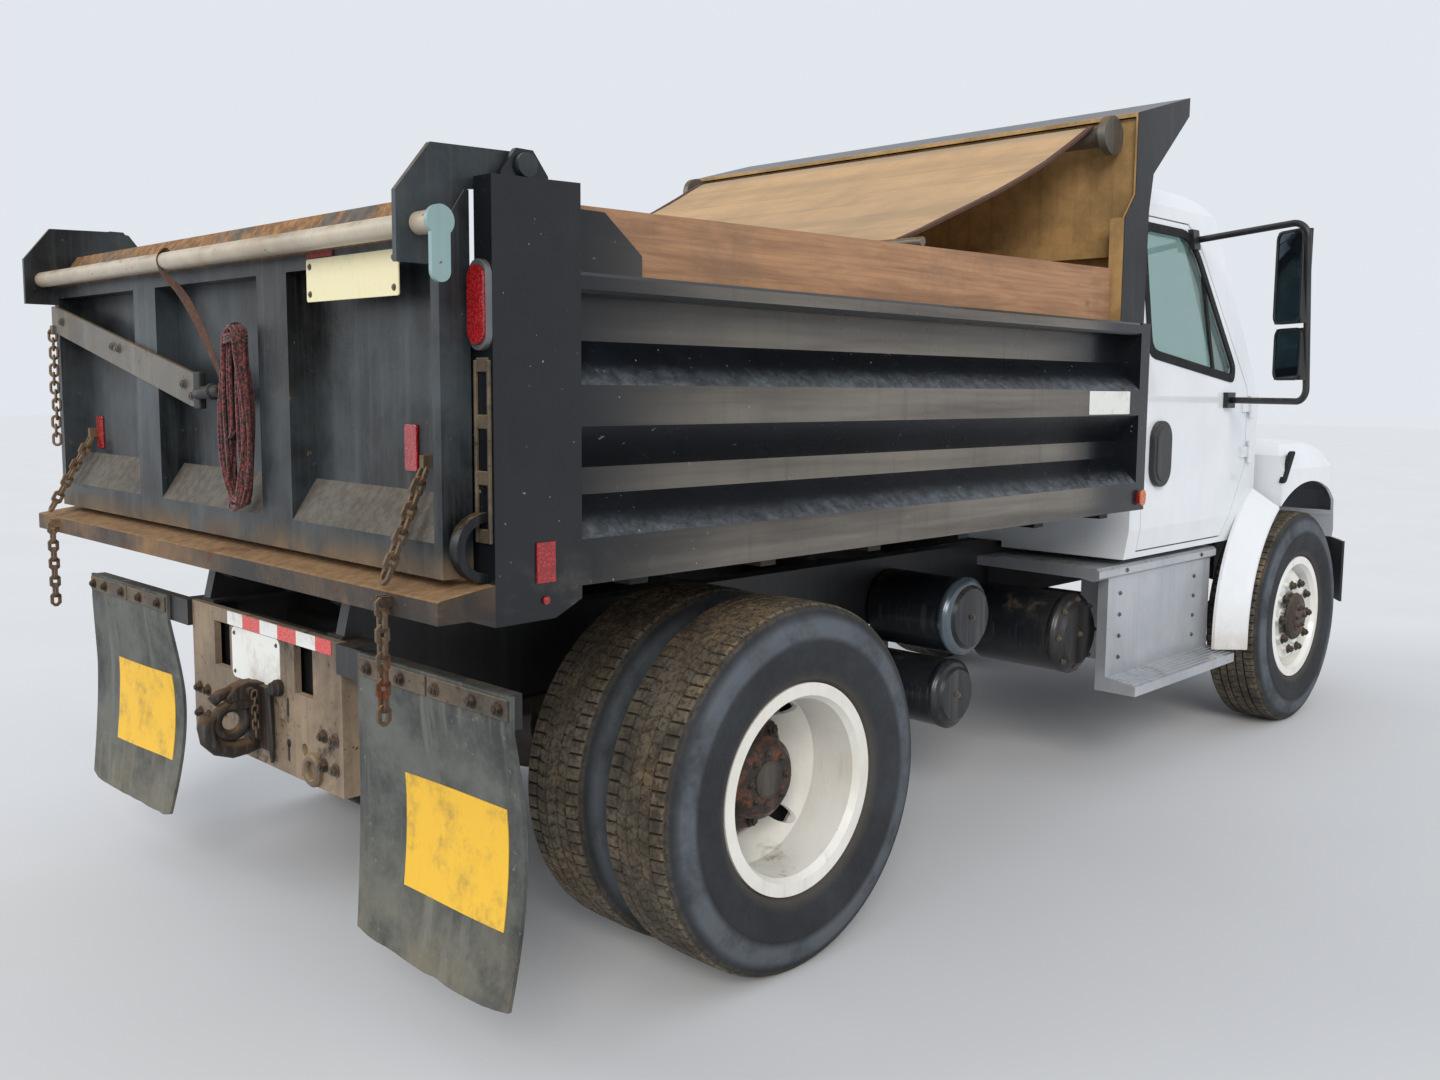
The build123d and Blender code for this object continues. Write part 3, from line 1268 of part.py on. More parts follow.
rim_skin = 9
rim_half = rim_width / 2
RIM_SIDE = (
    (rim_half - 12, rim_radius - 34), (rim_half + 9, rim_radius - 22), (rim_half + 9, flange_radius),
    (rim_half, flange_radius), (rim_half, rim_radius), (rim_half - 12, rim_radius - 14),
)
RIM_BARREL = RIM_SIDE + tuple((-y, radius) for y, radius in RIM_SIDE[::-1])
stud_circle = 167
stud_count = 10
stud_radius = 14
hand_hole_radius = 26
hand_hole_circle = 224
hand_holes = 4
for side, side_name in SIDES:
    with BuildPart() as tyres_rear:
        for offset_y in (dual_spacing / 2, -dual_spacing / 2):
            tyre_ring(side * (rear_track_half + offset_y), rear_x)
    tyres_rear.part.label = f"tyres_rear_{side_name}"
    export_step(tyres_rear.part, f"parts/tyres_rear_{side_name}.step")

    # The disc of each dual wheel lies at the seam between the two, so the outer wheel is deeply dished
    with BuildPart() as rims_rear:
        seam = side * rear_track_half
        for facing in (1, -1):
            out = facing * side
            centre = seam + out * dual_spacing / 2
            spin_ring(RIM_BARREL, rear_x, centre)
            disc_y = -(dual_spacing / 2) * out
            disc = [
                (disc_y, 112), (disc_y + out * 10, 112), (disc_y + out * 10, 205),
                (-rim_half * out + out * 60, rim_radius - 28), (-rim_half * out + out * 44, rim_radius - 28),
                (disc_y, 212),
            ]
            spin_ring(disc, rear_x, centre)
        hub = [
            (0, spindle_radius + pin_gap), (0, 190), (26, 190), (40, 130), (130, 118), (150, 96), (150, 0),
            (132, 0), (132, spindle_radius + pin_gap),
        ]
        hub = [(side * (offset_y + 10), radius) for offset_y, radius in hub]
        spin_ring(hub, rear_x, seam)
        for facing in (1, -1):
            disc_low, disc_high = sorted((seam + side * facing * 8, seam + side * facing * 34))
            for number in range(stud_count):
                angle = number * 360 / stud_count
                stud_x = rear_x + stud_circle * cos(radians(angle))
                stud_z = wheel_z + stud_circle * sin(radians(angle))
                rod_y(stud_x, stud_z, stud_radius, disc_low, disc_high)
        for number in range(hand_holes):
            angle = (number + 0.5) * 360 / hand_holes
            hole_x = rear_x + hand_hole_circle * cos(radians(angle))
            hole_z = wheel_z + hand_hole_circle * sin(radians(angle))
            rod_y(hole_x, hole_z, hand_hole_radius, seam - rim_width / 2, seam + rim_width / 2, Mode.SUBTRACT)
    rims_rear.part.label = f"rims_rear_{side_name}"
    export_step(rims_rear.part, f"parts/rims_rear_{side_name}.step")

    centre = side * front_track_half
    with BuildPart() as tyre_front:
        tyre_ring(centre, front_x)
    tyre_front.part.label = f"tyre_front_{side_name}"
    export_step(tyre_front.part, f"parts/tyre_front_{side_name}.step")

    with BuildPart() as rim_front:
        spin_ring(RIM_BARREL, front_x, centre)
        disc = [
            (side * 62, spindle_front_radius + pin_gap), (side * 62, 205), (side * 20, rim_radius - 28),
            (side * 36, rim_radius - 28), (side * 76, 212), (side * 76, 120), (side * 120, 96),
            (side * 138, 70),
            (side * 138, 0), (side * 122, 0), (side * 122, spindle_front_radius + pin_gap),
        ]
        spin_ring(disc, front_x, centre)
        inner_hub = [
            (-side * 5, spindle_front_radius + pin_gap), (-side * 5, 150), (side * 62, 150),
            (side * 62, spindle_front_radius + pin_gap),
        ]
        spin_ring(inner_hub, front_x, centre)
        stud_span = sorted((centre + side * 70, centre + side * 104))
        for number in range(stud_count):
            angle = number * 360 / stud_count
            stud_x = front_x + stud_circle * cos(radians(angle))
            stud_z = wheel_z + stud_circle * sin(radians(angle))
            rod_y(stud_x, stud_z, stud_radius, *stud_span)
        for number in range(hand_holes):
            angle = (number + 0.5) * 360 / hand_holes
            hole_x = front_x + hand_hole_circle * cos(radians(angle))
            hole_z = wheel_z + hand_hole_circle * sin(radians(angle))
            rod_y(hole_x, hole_z, hand_hole_radius, *sorted((centre, centre + side * 90)), Mode.SUBTRACT)
    rim_front.part.label = f"rim_front_{side_name}"
    export_step(rim_front.part, f"parts/rim_front_{side_name}.step")

# Hood: a tapered centre between four sections and two hollow fenders, columns: x, half width, top z
HOOD_SECTIONS = (
    (cab_cowl + 20, 990, 1590), (front_x + 90, 850, 1520), (front_x + 560, 700, 1380),
    (hood_hinge_x + 20, 600, 1260),
)
hood_skin = 14
hood_side_bottom = 1040
fender_rear = cab_cowl + 20
fender_bottom = 870


def hood_centre(inset):
    """The centre of the hood as a ruled loft, drawn in by inset."""
    faces_along = []
    for number, (x, half_width, top) in enumerate(HOOD_SECTIONS):
        w, t = half_width - inset, top - inset
        end_shift = 0
        if inset and number == 0:
            end_shift = -20
        if inset and number == len(HOOD_SECTIONS) - 1:
            end_shift = -inset
        with BuildSketch(Plane.YZ.offset(x + end_shift)) as section:
            with BuildLine():
                Polyline(
                    (w, hood_side_bottom), (w, t - 150), (w - 60, t - 60), (w - 220, t - 8), (0, t + 12),
                    (-w + 220, t - 8), (-w + 60, t - 60), (-w, t - 150), (-w, hood_side_bottom), close=True,
                )
            make_face()
        faces_along.append(section.sketch.face())
    return loft(faces_along, ruled=True)


# Fender form: a side outline crossed with a plan outline and an end outline
fender_face = front_x + 810
FENDER = (
    (fender_rear, 1080), (fender_rear, 1340), (front_x - 200, 1408), (front_x + 40, 1402),
    (front_x + 250, 1345),
    (front_x + 450, 1272), (front_x + 650, 1196), (front_x + 770, 1136), (fender_face, 1110),
    (fender_face, fender_bottom), (front_x + 640, fender_bottom), (front_x + 500, 1000), (front_x, 1150),
)
FENDER_PLAN = (
    (fender_rear, fender_inner - 80), (fender_rear, fender_outer), (front_x + 260, fender_outer),
    (front_x + 400, fender_outer - 17), (front_x + 550, fender_outer - 62),
    (front_x + 700, fender_outer - 130),
    (front_x + 780, fender_outer - 190), (fender_face, fender_outer - 235), (fender_face, fender_inner - 80),
)
FENDER_END = (
    (fender_inner - 80, fender_bottom), (fender_outer, fender_bottom), (fender_outer, 1270),
    (fender_outer - 22, 1340), (fender_outer - 75, 1388), (fender_outer - 170, 1412),
    (fender_inner - 80, 1420),
)
# The rounded crown once more, shifted at the rear end and swept forwards, inwards and down
CROWN_SHIFT = (219, 176)
CROWN_SWEEP = (1, -0.3125, -0.38)
FENDER_CROWN = tuple((y + CROWN_SHIFT[0], z + CROWN_SHIFT[1]) for y, z in FENDER_END[2:]) + (
    (fender_inner - 500, 1420 + CROWN_SHIFT[1]), (fender_inner - 500, 200),
    (fender_outer + CROWN_SHIFT[0], 200),
)


def fender_form(inset):
    """The left fender, drawn in by inset on every side."""
    with BuildPart() as form:
        with BuildSketch(Plane.XZ):
            with BuildLine():
                Polyline(*FENDER, close=True)
            make_face()
            if inset:
                offset(amount=-inset, kind=Kind.INTERSECTION)
        extrude(amount=-fender_outer - 10)
        with BuildSketch(Plane.XY.offset(fender_bottom - 10)):
            with BuildLine():
                Polyline(*FENDER_PLAN, close=True)
            make_face()
            if inset:
                offset(amount=-inset, kind=Kind.INTERSECTION)
        extrude(amount=700, mode=Mode.INTERSECT)
        with BuildSketch(Plane.YZ.offset(fender_rear - 10)):
            with BuildLine():
                Polyline(*FENDER_END, close=True)
            make_face()
            if inset:
                offset(amount=-inset, kind=Kind.INTERSECTION)
        extrude(amount=fender_face - fender_rear + 20, mode=Mode.INTERSECT)
        with BuildSketch(Plane.YZ.offset(fender_rear - 10)):
            with BuildLine():
                Polyline(*FENDER_CROWN, close=True)
            make_face()
            if inset:
                offset(amount=-inset, kind=Kind.INTERSECTION)
        extrude(amount=1600, dir=CROWN_SWEEP, mode=Mode.INTERSECT)
    return form.part


def arch_cut(radius, y_low, y_high, mode=Mode.SUBTRACT):
    """The wheel arch: a half round with straight legs."""
    with BuildSketch(Plane.XZ.offset(-y_high)) as arch:
        with Locations((front_x, arch_centre_z)):
            Circle(radius)
        with Locations((front_x, arch_centre_z - 400)):
            Rectangle(2 * radius, 800)
    extrude(arch.sketch, amount=y_high - y_low, mode=mode)


inner_hood = hood_centre(hood_skin)
outer_hood = hood_centre(0)
fender_solid = fender_form(0)
fender_hollow = fender_form(hood_skin)
grille_half = 430
grille_span = (960, 1190)
with BuildPart() as hood_shell:
    add(outer_hood)
    add(fender_solid)
    add(fender_solid.mirror(Plane.XZ))
    add(inner_hood, mode=Mode.SUBTRACT)
    add(fender_hollow, mode=Mode.SUBTRACT)
    add(fender_hollow.mirror(Plane.XZ), mode=Mode.SUBTRACT)
    for side, side_name in SIDES:
        arch_cut(arch_radius, *mirrored(side, fender_inner - 100, fender_outer + 40))
        arm = [
            (hood_hinge_x - 18, hood_hinge_z - 18), (hood_hinge_x + 18, hood_hinge_z - 18),
            (hood_hinge_x + 12, hood_side_bottom + 60), (hood_hinge_x - 50, hood_side_bottom + 60),
        ]
        slab_y(arm, *mirrored(side, hood_arm_y, hood_arm_y + 14))
        rod_y(hood_hinge_x, hood_hinge_z, hood_pin_radius, *mirrored(side, hood_arm_y - 24, hood_arm_y + 5))
    block((hood_hinge_x - 40, hood_hinge_x + 60), (-grille_half, grille_half), grille_span, Mode.SUBTRACT)
hood_shell.part.label = "hood_shell"
export_step(hood_shell.part, "parts/hood_shell.step")

with BuildPart() as grille:
    block(
        (hood_hinge_x - 10, hood_hinge_x + 14), (-grille_half + seat_gap, grille_half - seat_gap),
        (grille_span[0] + seat_gap, grille_span[1] - seat_gap),
    )
    for bar in range(6):
        block(
            (hood_hinge_x - 12, hood_hinge_x + 20), (-400, 400), (985 + bar * 34, 985 + bar * 34 + 18),
            Mode.SUBTRACT,
        )
grille.part.label = "grille"
export_step(grille.part, "parts/grille.step")

with BuildPart() as headlamps:
    for side, side_name in SIDES:
        block(
            (fender_face + seat_gap, fender_face + 30), mirrored(side, 690, 920), (930, 1100),
        )
headlamps.part.label = "headlamps"
export_step(headlamps.part, "parts/headlamps.step")

# Fixed quarter panels behind the front wheels, a flared ring that runs down as a straight leg
quarter_angle = 56
quarter_bottom = step_low + 60
FLARE_SECTION = (
    (arch_radius, fender_outer), (arch_radius + 14, fender_outer), (arch_radius + 34, fender_outer - 24),
    (flare_outer_radius, cab_half + 14), (flare_outer_radius, cab_half + seat_gap),
    (arch_radius + 24, fender_outer - 40), (arch_radius, fender_outer - 14),
)
with BuildPart() as quarter_panels:
    for side, side_name in SIDES:
        outline = [(front_x - radius, side * y) for radius, y in FLARE_SECTION]
        with BuildSketch(Plane.XY.offset(arch_centre_z)) as flare:
            with BuildLine():
                Polyline(*outline, close=True)
            make_face()
        extrude(flare.sketch, amount=quarter_bottom - arch_centre_z)
        revolve(
            flare.sketch, axis=Axis((front_x, 0, arch_centre_z), (0, 1, 0)), revolution_arc=quarter_angle,
        )
quarter_panels.part.label = "quarter_panels"
export_step(quarter_panels.part, "parts/quarter_panels.step")
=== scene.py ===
import bpy
import bmesh
import random
from math import atan2, cos, hypot, pi, radians, sin, sqrt
from mathutils import Matrix, Vector


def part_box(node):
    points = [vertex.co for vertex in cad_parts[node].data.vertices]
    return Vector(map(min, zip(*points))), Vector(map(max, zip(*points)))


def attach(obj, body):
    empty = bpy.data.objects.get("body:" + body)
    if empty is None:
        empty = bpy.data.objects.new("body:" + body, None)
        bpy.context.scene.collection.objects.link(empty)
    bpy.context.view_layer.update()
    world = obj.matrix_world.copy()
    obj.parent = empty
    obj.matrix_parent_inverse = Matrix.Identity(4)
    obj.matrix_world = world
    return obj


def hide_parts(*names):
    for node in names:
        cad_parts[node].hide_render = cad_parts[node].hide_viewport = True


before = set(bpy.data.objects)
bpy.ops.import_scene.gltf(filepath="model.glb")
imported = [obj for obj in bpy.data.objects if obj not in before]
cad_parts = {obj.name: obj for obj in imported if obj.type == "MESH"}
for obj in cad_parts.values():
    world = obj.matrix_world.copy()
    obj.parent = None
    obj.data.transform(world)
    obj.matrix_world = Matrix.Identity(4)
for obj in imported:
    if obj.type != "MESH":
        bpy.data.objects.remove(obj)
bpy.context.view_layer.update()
rng = random.Random(7)

# Camera, fitted to the photograph, 1440 by 1080
YAW, PITCH, ROLL = radians(43.57), radians(-5.94), radians(0.57)
FOCAL_PX = 1260.4
CAMERA_AT = Vector((-4.388, -3.448, 1.640))

# Places shared with the CAD source, in metres
REAR_X, FRONT_X, WHEEL_Z = -1.815, 1.995, 0.525
BODY_HALF = 1.219
POST_REAR = -2.837
GATE_FACE, GATE_RECESS = -2.921, -2.855
CAB_HALF, BELT_Z, DOOR_LEAN = 1.050, 1.620, 0.105 / 0.800


def make_camera():
    d = Vector((cos(YAW) * cos(PITCH), sin(YAW) * cos(PITCH), sin(PITCH)))
    r = Vector((sin(YAW), -cos(YAW), 0))
    u = r.cross(d)
    right = r * cos(ROLL) + u * sin(ROLL)
    up = -r * sin(ROLL) + u * cos(ROLL)
    data = bpy.data.cameras.new("camera")
    data.sensor_width = 36
    data.lens = FOCAL_PX / 1440 * 36
    data.shift_x = -0.0222
    data.shift_y = -0.0155
    data.clip_end = 200
    cam = bpy.data.objects.new("camera", data)
    bpy.context.scene.collection.objects.link(cam)
    m = Matrix((right, up, -d)).transposed().to_4x4()
    m.translation = CAMERA_AT
    cam.matrix_world = m
    bpy.context.scene.camera = cam


make_camera()


def lin(code):
    """A linear colour from a six-digit hex code."""
    out = []
    for i in (0, 2, 4):
        c = int(code[i:i + 2], 16) / 255
        out.append(c / 12.92 if c <= 0.04045 else ((c + 0.055) / 1.055) ** 2.4)
    return (*out, 1)


class Mat:
    """Builds one procedural material on the principled shader."""

    def __init__(self, name):
        self.mat = bpy.data.materials.new(name)
        self.mat.use_nodes = True
        self.nt = self.mat.node_tree
        self.bsdf = self.nt.nodes["Principled BSDF"]
        coord = self.nt.nodes.new("ShaderNodeTexCoord")
        self.at = coord.outputs["Object"]
        self.normal = coord.outputs["Normal"]

    def put(self, node, socket, value):
        if isinstance(value, bpy.types.NodeSocket):
            self.nt.links.new(value, node.inputs[socket])
        else:
            node.inputs[socket].default_value = value

    def set(self, **values):
        names = {"rough": "Roughness", "metal": "Metallic", "coat": "Coat Weight", "clear": "Transmission Weight",
                 "ior": "IOR", "sheen": "Sheen Weight", "spec": "Specular IOR Level", "alpha": "Alpha",
                 "coat_rough": "Coat Roughness"}
        for key, value in values.items():
            self.put(self.bsdf, names[key], value)
        return self

    def scaled(self, factors, shift=(0, 0, 0)):
        node = self.nt.nodes.new("ShaderNodeMapping")
        self.put(node, "Vector", self.at)
        node.inputs["Scale"].default_value = factors
        node.inputs["Location"].default_value = shift
        return node.outputs["Vector"]

    def noise(self, scale, detail=5.0, rough=0.6, vec=None, twist=0.0):
        node = self.nt.nodes.new("ShaderNodeTexNoise")
        self.put(node, "Vector", vec or self.at)
        for key, value in (("Scale", scale), ("Detail", detail), ("Roughness", rough), ("Distortion", twist)):
            node.inputs[key].default_value = value
        return node.outputs["Fac"]

    def cells(self, scale, vec=None, feature="F1"):
        node = self.nt.nodes.new("ShaderNodeTexVoronoi")
        node.feature = feature
        self.put(node, "Vector", vec or self.at)
        node.inputs["Scale"].default_value = scale
        return node.outputs["Distance"]

    def wave(self, scale, direction="Z", vec=None, twist=0.0, profile="SIN"):
        node = self.nt.nodes.new("ShaderNodeTexWave")
        node.bands_direction = direction
        node.wave_profile = profile
        self.put(node, "Vector", vec or self.at)
        node.inputs["Scale"].default_value = scale
        node.inputs["Distortion"].default_value = twist
        return node.outputs["Fac"]

    def ramp(self, value, low, high, to_low=0.0, to_high=1.0):
        node = self.nt.nodes.new("ShaderNodeMapRange")
        node.interpolation_type = "SMOOTHSTEP"
        self.put(node, "Value", value)
        node.inputs["From Min"].default_value = min(low, high)
        node.inputs["From Max"].default_value = max(low, high)
        flip = low > high
        node.inputs["To Min"].default_value = to_high if flip else to_low
        node.inputs["To Max"].default_value = to_low if flip else to_high
        return node.outputs["Result"]

    def math(self, op, a, b=0.0):
        node = self.nt.nodes.new("ShaderNodeMath")
        node.operation = op
        self.put(node, 0, a)
        self.put(node, 1, b)
        return node.outputs[0]

    def times(self, *values):
        out = values[0]
        for value in values[1:]:
            out = self.math("MULTIPLY", out, value)
        return out

    def axis(self, index, source=None):
        node = self.nt.nodes.new("ShaderNodeSeparateXYZ")
        self.put(node, 0, source or self.at)
        return node.outputs[index]

    def mix(self, fac, a, b):
        node = self.nt.nodes.new("ShaderNodeMix")
        node.data_type = "RGBA"
        self.put(node, 0, fac)
        self.put(node, 6, a)
        self.put(node, 7, b)
        return node.outputs[2]

    def radius(self, x, z):
        """Distance from an axle that runs along Y."""
        dx = self.math("SUBTRACT", self.axis(0), x)
        dz = self.math("SUBTRACT", self.axis(2), z)
        return self.math("SQRT", self.math("ADD", self.math("POWER", dx, 2), self.math("POWER", dz, 2)))

    def within(self, limits):
        """A mask from (axis, limit, direction) lines; the Y axis counts from the middle plane."""
        out = 1.0
        for index, limit, way in limits:
            place = self.axis(index)
            if index == 1:
                place = self.math("ABSOLUTE", place)
            out = self.math("MULTIPLY", self.ramp(place, limit, limit + 0.004 * way), out)
        return out

    def sand(self, run):
        """Dry dirt that the load leaves on inner faces."""
        base = self.mix(self.ramp(self.noise(4, 9, 0.75), 0.35, 0.65), lin("8e7249"), lin("b3905f"))
        return self.mix(self.times(run, 1.4), base, lin("5d4a33"))

    def paint(self, colour):
        self.put(self.bsdf, "Base Color", colour)
        return self

    def bump(self, height, strength=0.3, depth=0.004):
        node = self.nt.nodes.new("ShaderNodeBump")
        self.put(node, "Height", height)
        node.inputs["Strength"].default_value = strength
        node.inputs["Distance"].default_value = depth
        old = self.bsdf.inputs["Normal"]
        if old.is_linked:
            self.nt.links.new(old.links[0].from_socket, node.inputs["Normal"])
        self.nt.links.new(node.outputs[0], old)
        return self


def weathered(name, paint, faded, dirt="7d6647", rust="6b3a1c", top=0.5, streak=0.3, grime=0.2, speck=0.2,
              patch=0.0, low=None, foot=None, rough=(0.35, 0.8), metal=0.0, coat=0.0, bump=0.3, hub=None, streaks="8a8680",
              inside=(), tip=None, crown=None, back=None, spec=0.5):
    """Painted or bare metal with dust on upper faces, runs of dirt, chips, rust and a dirty lower part."""
    m = Mat(name)
    nz = m.axis(2, m.normal)
    z = m.axis(2)
    soft = m.noise(2.3, 6, 0.62)
    fine = m.noise(38, 6, 0.7)
    smudge = m.ramp(m.noise(1, 5, 0.62, m.scaled((5, 5, 2.2), (2, 5, 1)), 1.2), 0.5, 0.7)
    colour = m.mix(m.ramp(soft, 0.35, 0.7), lin(paint), lin(faded))
    colour = m.mix(m.times(smudge, 0.45), colour, lin(faded))
    if tip:
        colour = m.mix(m.ramp(m.axis(1), tip[0], tip[0] - 0.002), colour, lin(tip[1]))
    dusty = m.times(m.ramp(nz, 0.2, 0.75), m.ramp(m.noise(6, 8, 0.72), 0.62 - top * 0.5, 0.78 - top * 0.35))
    walls = m.ramp(m.math("ABSOLUTE", nz), 0.6, 0.1)
    runs = m.ramp(m.noise(1, 7, 0.6, m.scaled((21, 21, 0.9))), 0.5, 0.72)
    thin = m.ramp(m.noise(1, 5, 0.6, m.scaled((90, 90, 2.2), (3, 1, 0))), 0.5, 0.75)
    run = m.times(m.math("MAXIMUM", runs, m.times(thin, 0.7)), walls, streak)
    colour = m.mix(run, colour, lin(streaks))
    haze = m.times(m.ramp(m.noise(1.1, 9, 0.75, None, 0.6), 0.42, 0.75), grime)
    colour = m.mix(haze, colour, lin(dirt))
    mask = m.math("MAXIMUM", dusty, haze)
    if low:
        lowest = m.times(m.ramp(z, low[1], low[0]), m.ramp(m.noise(4, 8, 0.7), 0.3, 0.62))
        colour = m.mix(lowest, colour, lin(foot or dirt))
        mask = m.math("MAXIMUM", mask, lowest)
    tint = m.mix(m.ramp(fine, 0.35, 0.65), lin(dirt), tuple(c * 0.62 for c in lin(dirt)[:3]) + (1,))
    colour = m.mix(m.times(dusty, 0.93), colour, tint)
    if patch:
        rusty = m.ramp(m.noise(3.1, 12, 0.78, None, 0.4), 0.72 - patch * 0.25, 0.8 - patch * 0.2)
        shade = m.mix(m.ramp(fine, 0.3, 0.7), lin(rust), tuple(c * 0.4 for c in lin(rust)[:3]) + (1,))
        colour = m.mix(rusty, colour, shade)
        mask = m.math("MAXIMUM", mask, rusty)
    if back:
        behind = m.ramp(m.axis(0, m.normal), -0.15, -0.4)
        colour = m.mix(behind, colour, lin(back))
        metal = m.math("MULTIPLY", m.math("SUBTRACT", 1.0, behind), metal)
        mask = m.math("MAXIMUM", mask, behind)
    if crown:
        caked = m.times(m.ramp(z, crown[0], crown[0] + 0.02), m.ramp(m.noise(4.5, 9, 0.75, None, 0.5), 0.38, 0.52))
        caked = m.times(caked, m.ramp(nz, -0.3, 0.1), m.ramp(m.math("ABSOLUTE", m.axis(1)), 1.122, 1.112))
        colour = m.mix(caked, colour, m.mix(m.ramp(fine, 0.35, 0.6), lin(crown[1]), lin(crown[2])))
        mask = m.math("MAXIMUM", mask, caked)
    if speck:
        chips = m.ramp(m.noise(55, 3, 0.55), 0.74 - speck * 0.12, 0.78 - speck * 0.12)
        colour = m.mix(m.times(chips, 0.85), colour, lin(rust))
        mask = m.math("MAXIMUM", mask, chips)
    if inside:
        rear = m.within(inside)
        colour = m.mix(rear, colour, m.sand(run))
        mask = m.math("MAXIMUM", mask, rear)
    if hub:
        edge = m.math("ADD", m.radius(hub[0], hub[1]), m.math("MULTIPLY", m.noise(14, 8, 0.7), 0.05))
        ring = m.ramp(edge, hub[3] + 0.025, hub[2] + 0.025)
        colour = m.mix(ring, colour, m.mix(m.ramp(m.noise(26, 8, 0.75), 0.45, 0.66), lin("1f1814"), lin("6a3a1e")))
        mask = m.math("MAXIMUM", mask, ring)
    m.paint(colour)
    grain = m.noise(220, 3, 0.5)
    m.set(metal=metal, coat=coat, spec=spec)
    m.set(rough=m.ramp(m.math("ADD", mask, m.times(fine, 0.3)), 0.05, 1.0, rough[0], rough[1]))
    m.bump(grain, 0.08 + bump * 0.12, 0.001)
    m.bump(m.math("ADD", m.times(mask, 0.6), fine), bump, 0.003)
    return m.mat


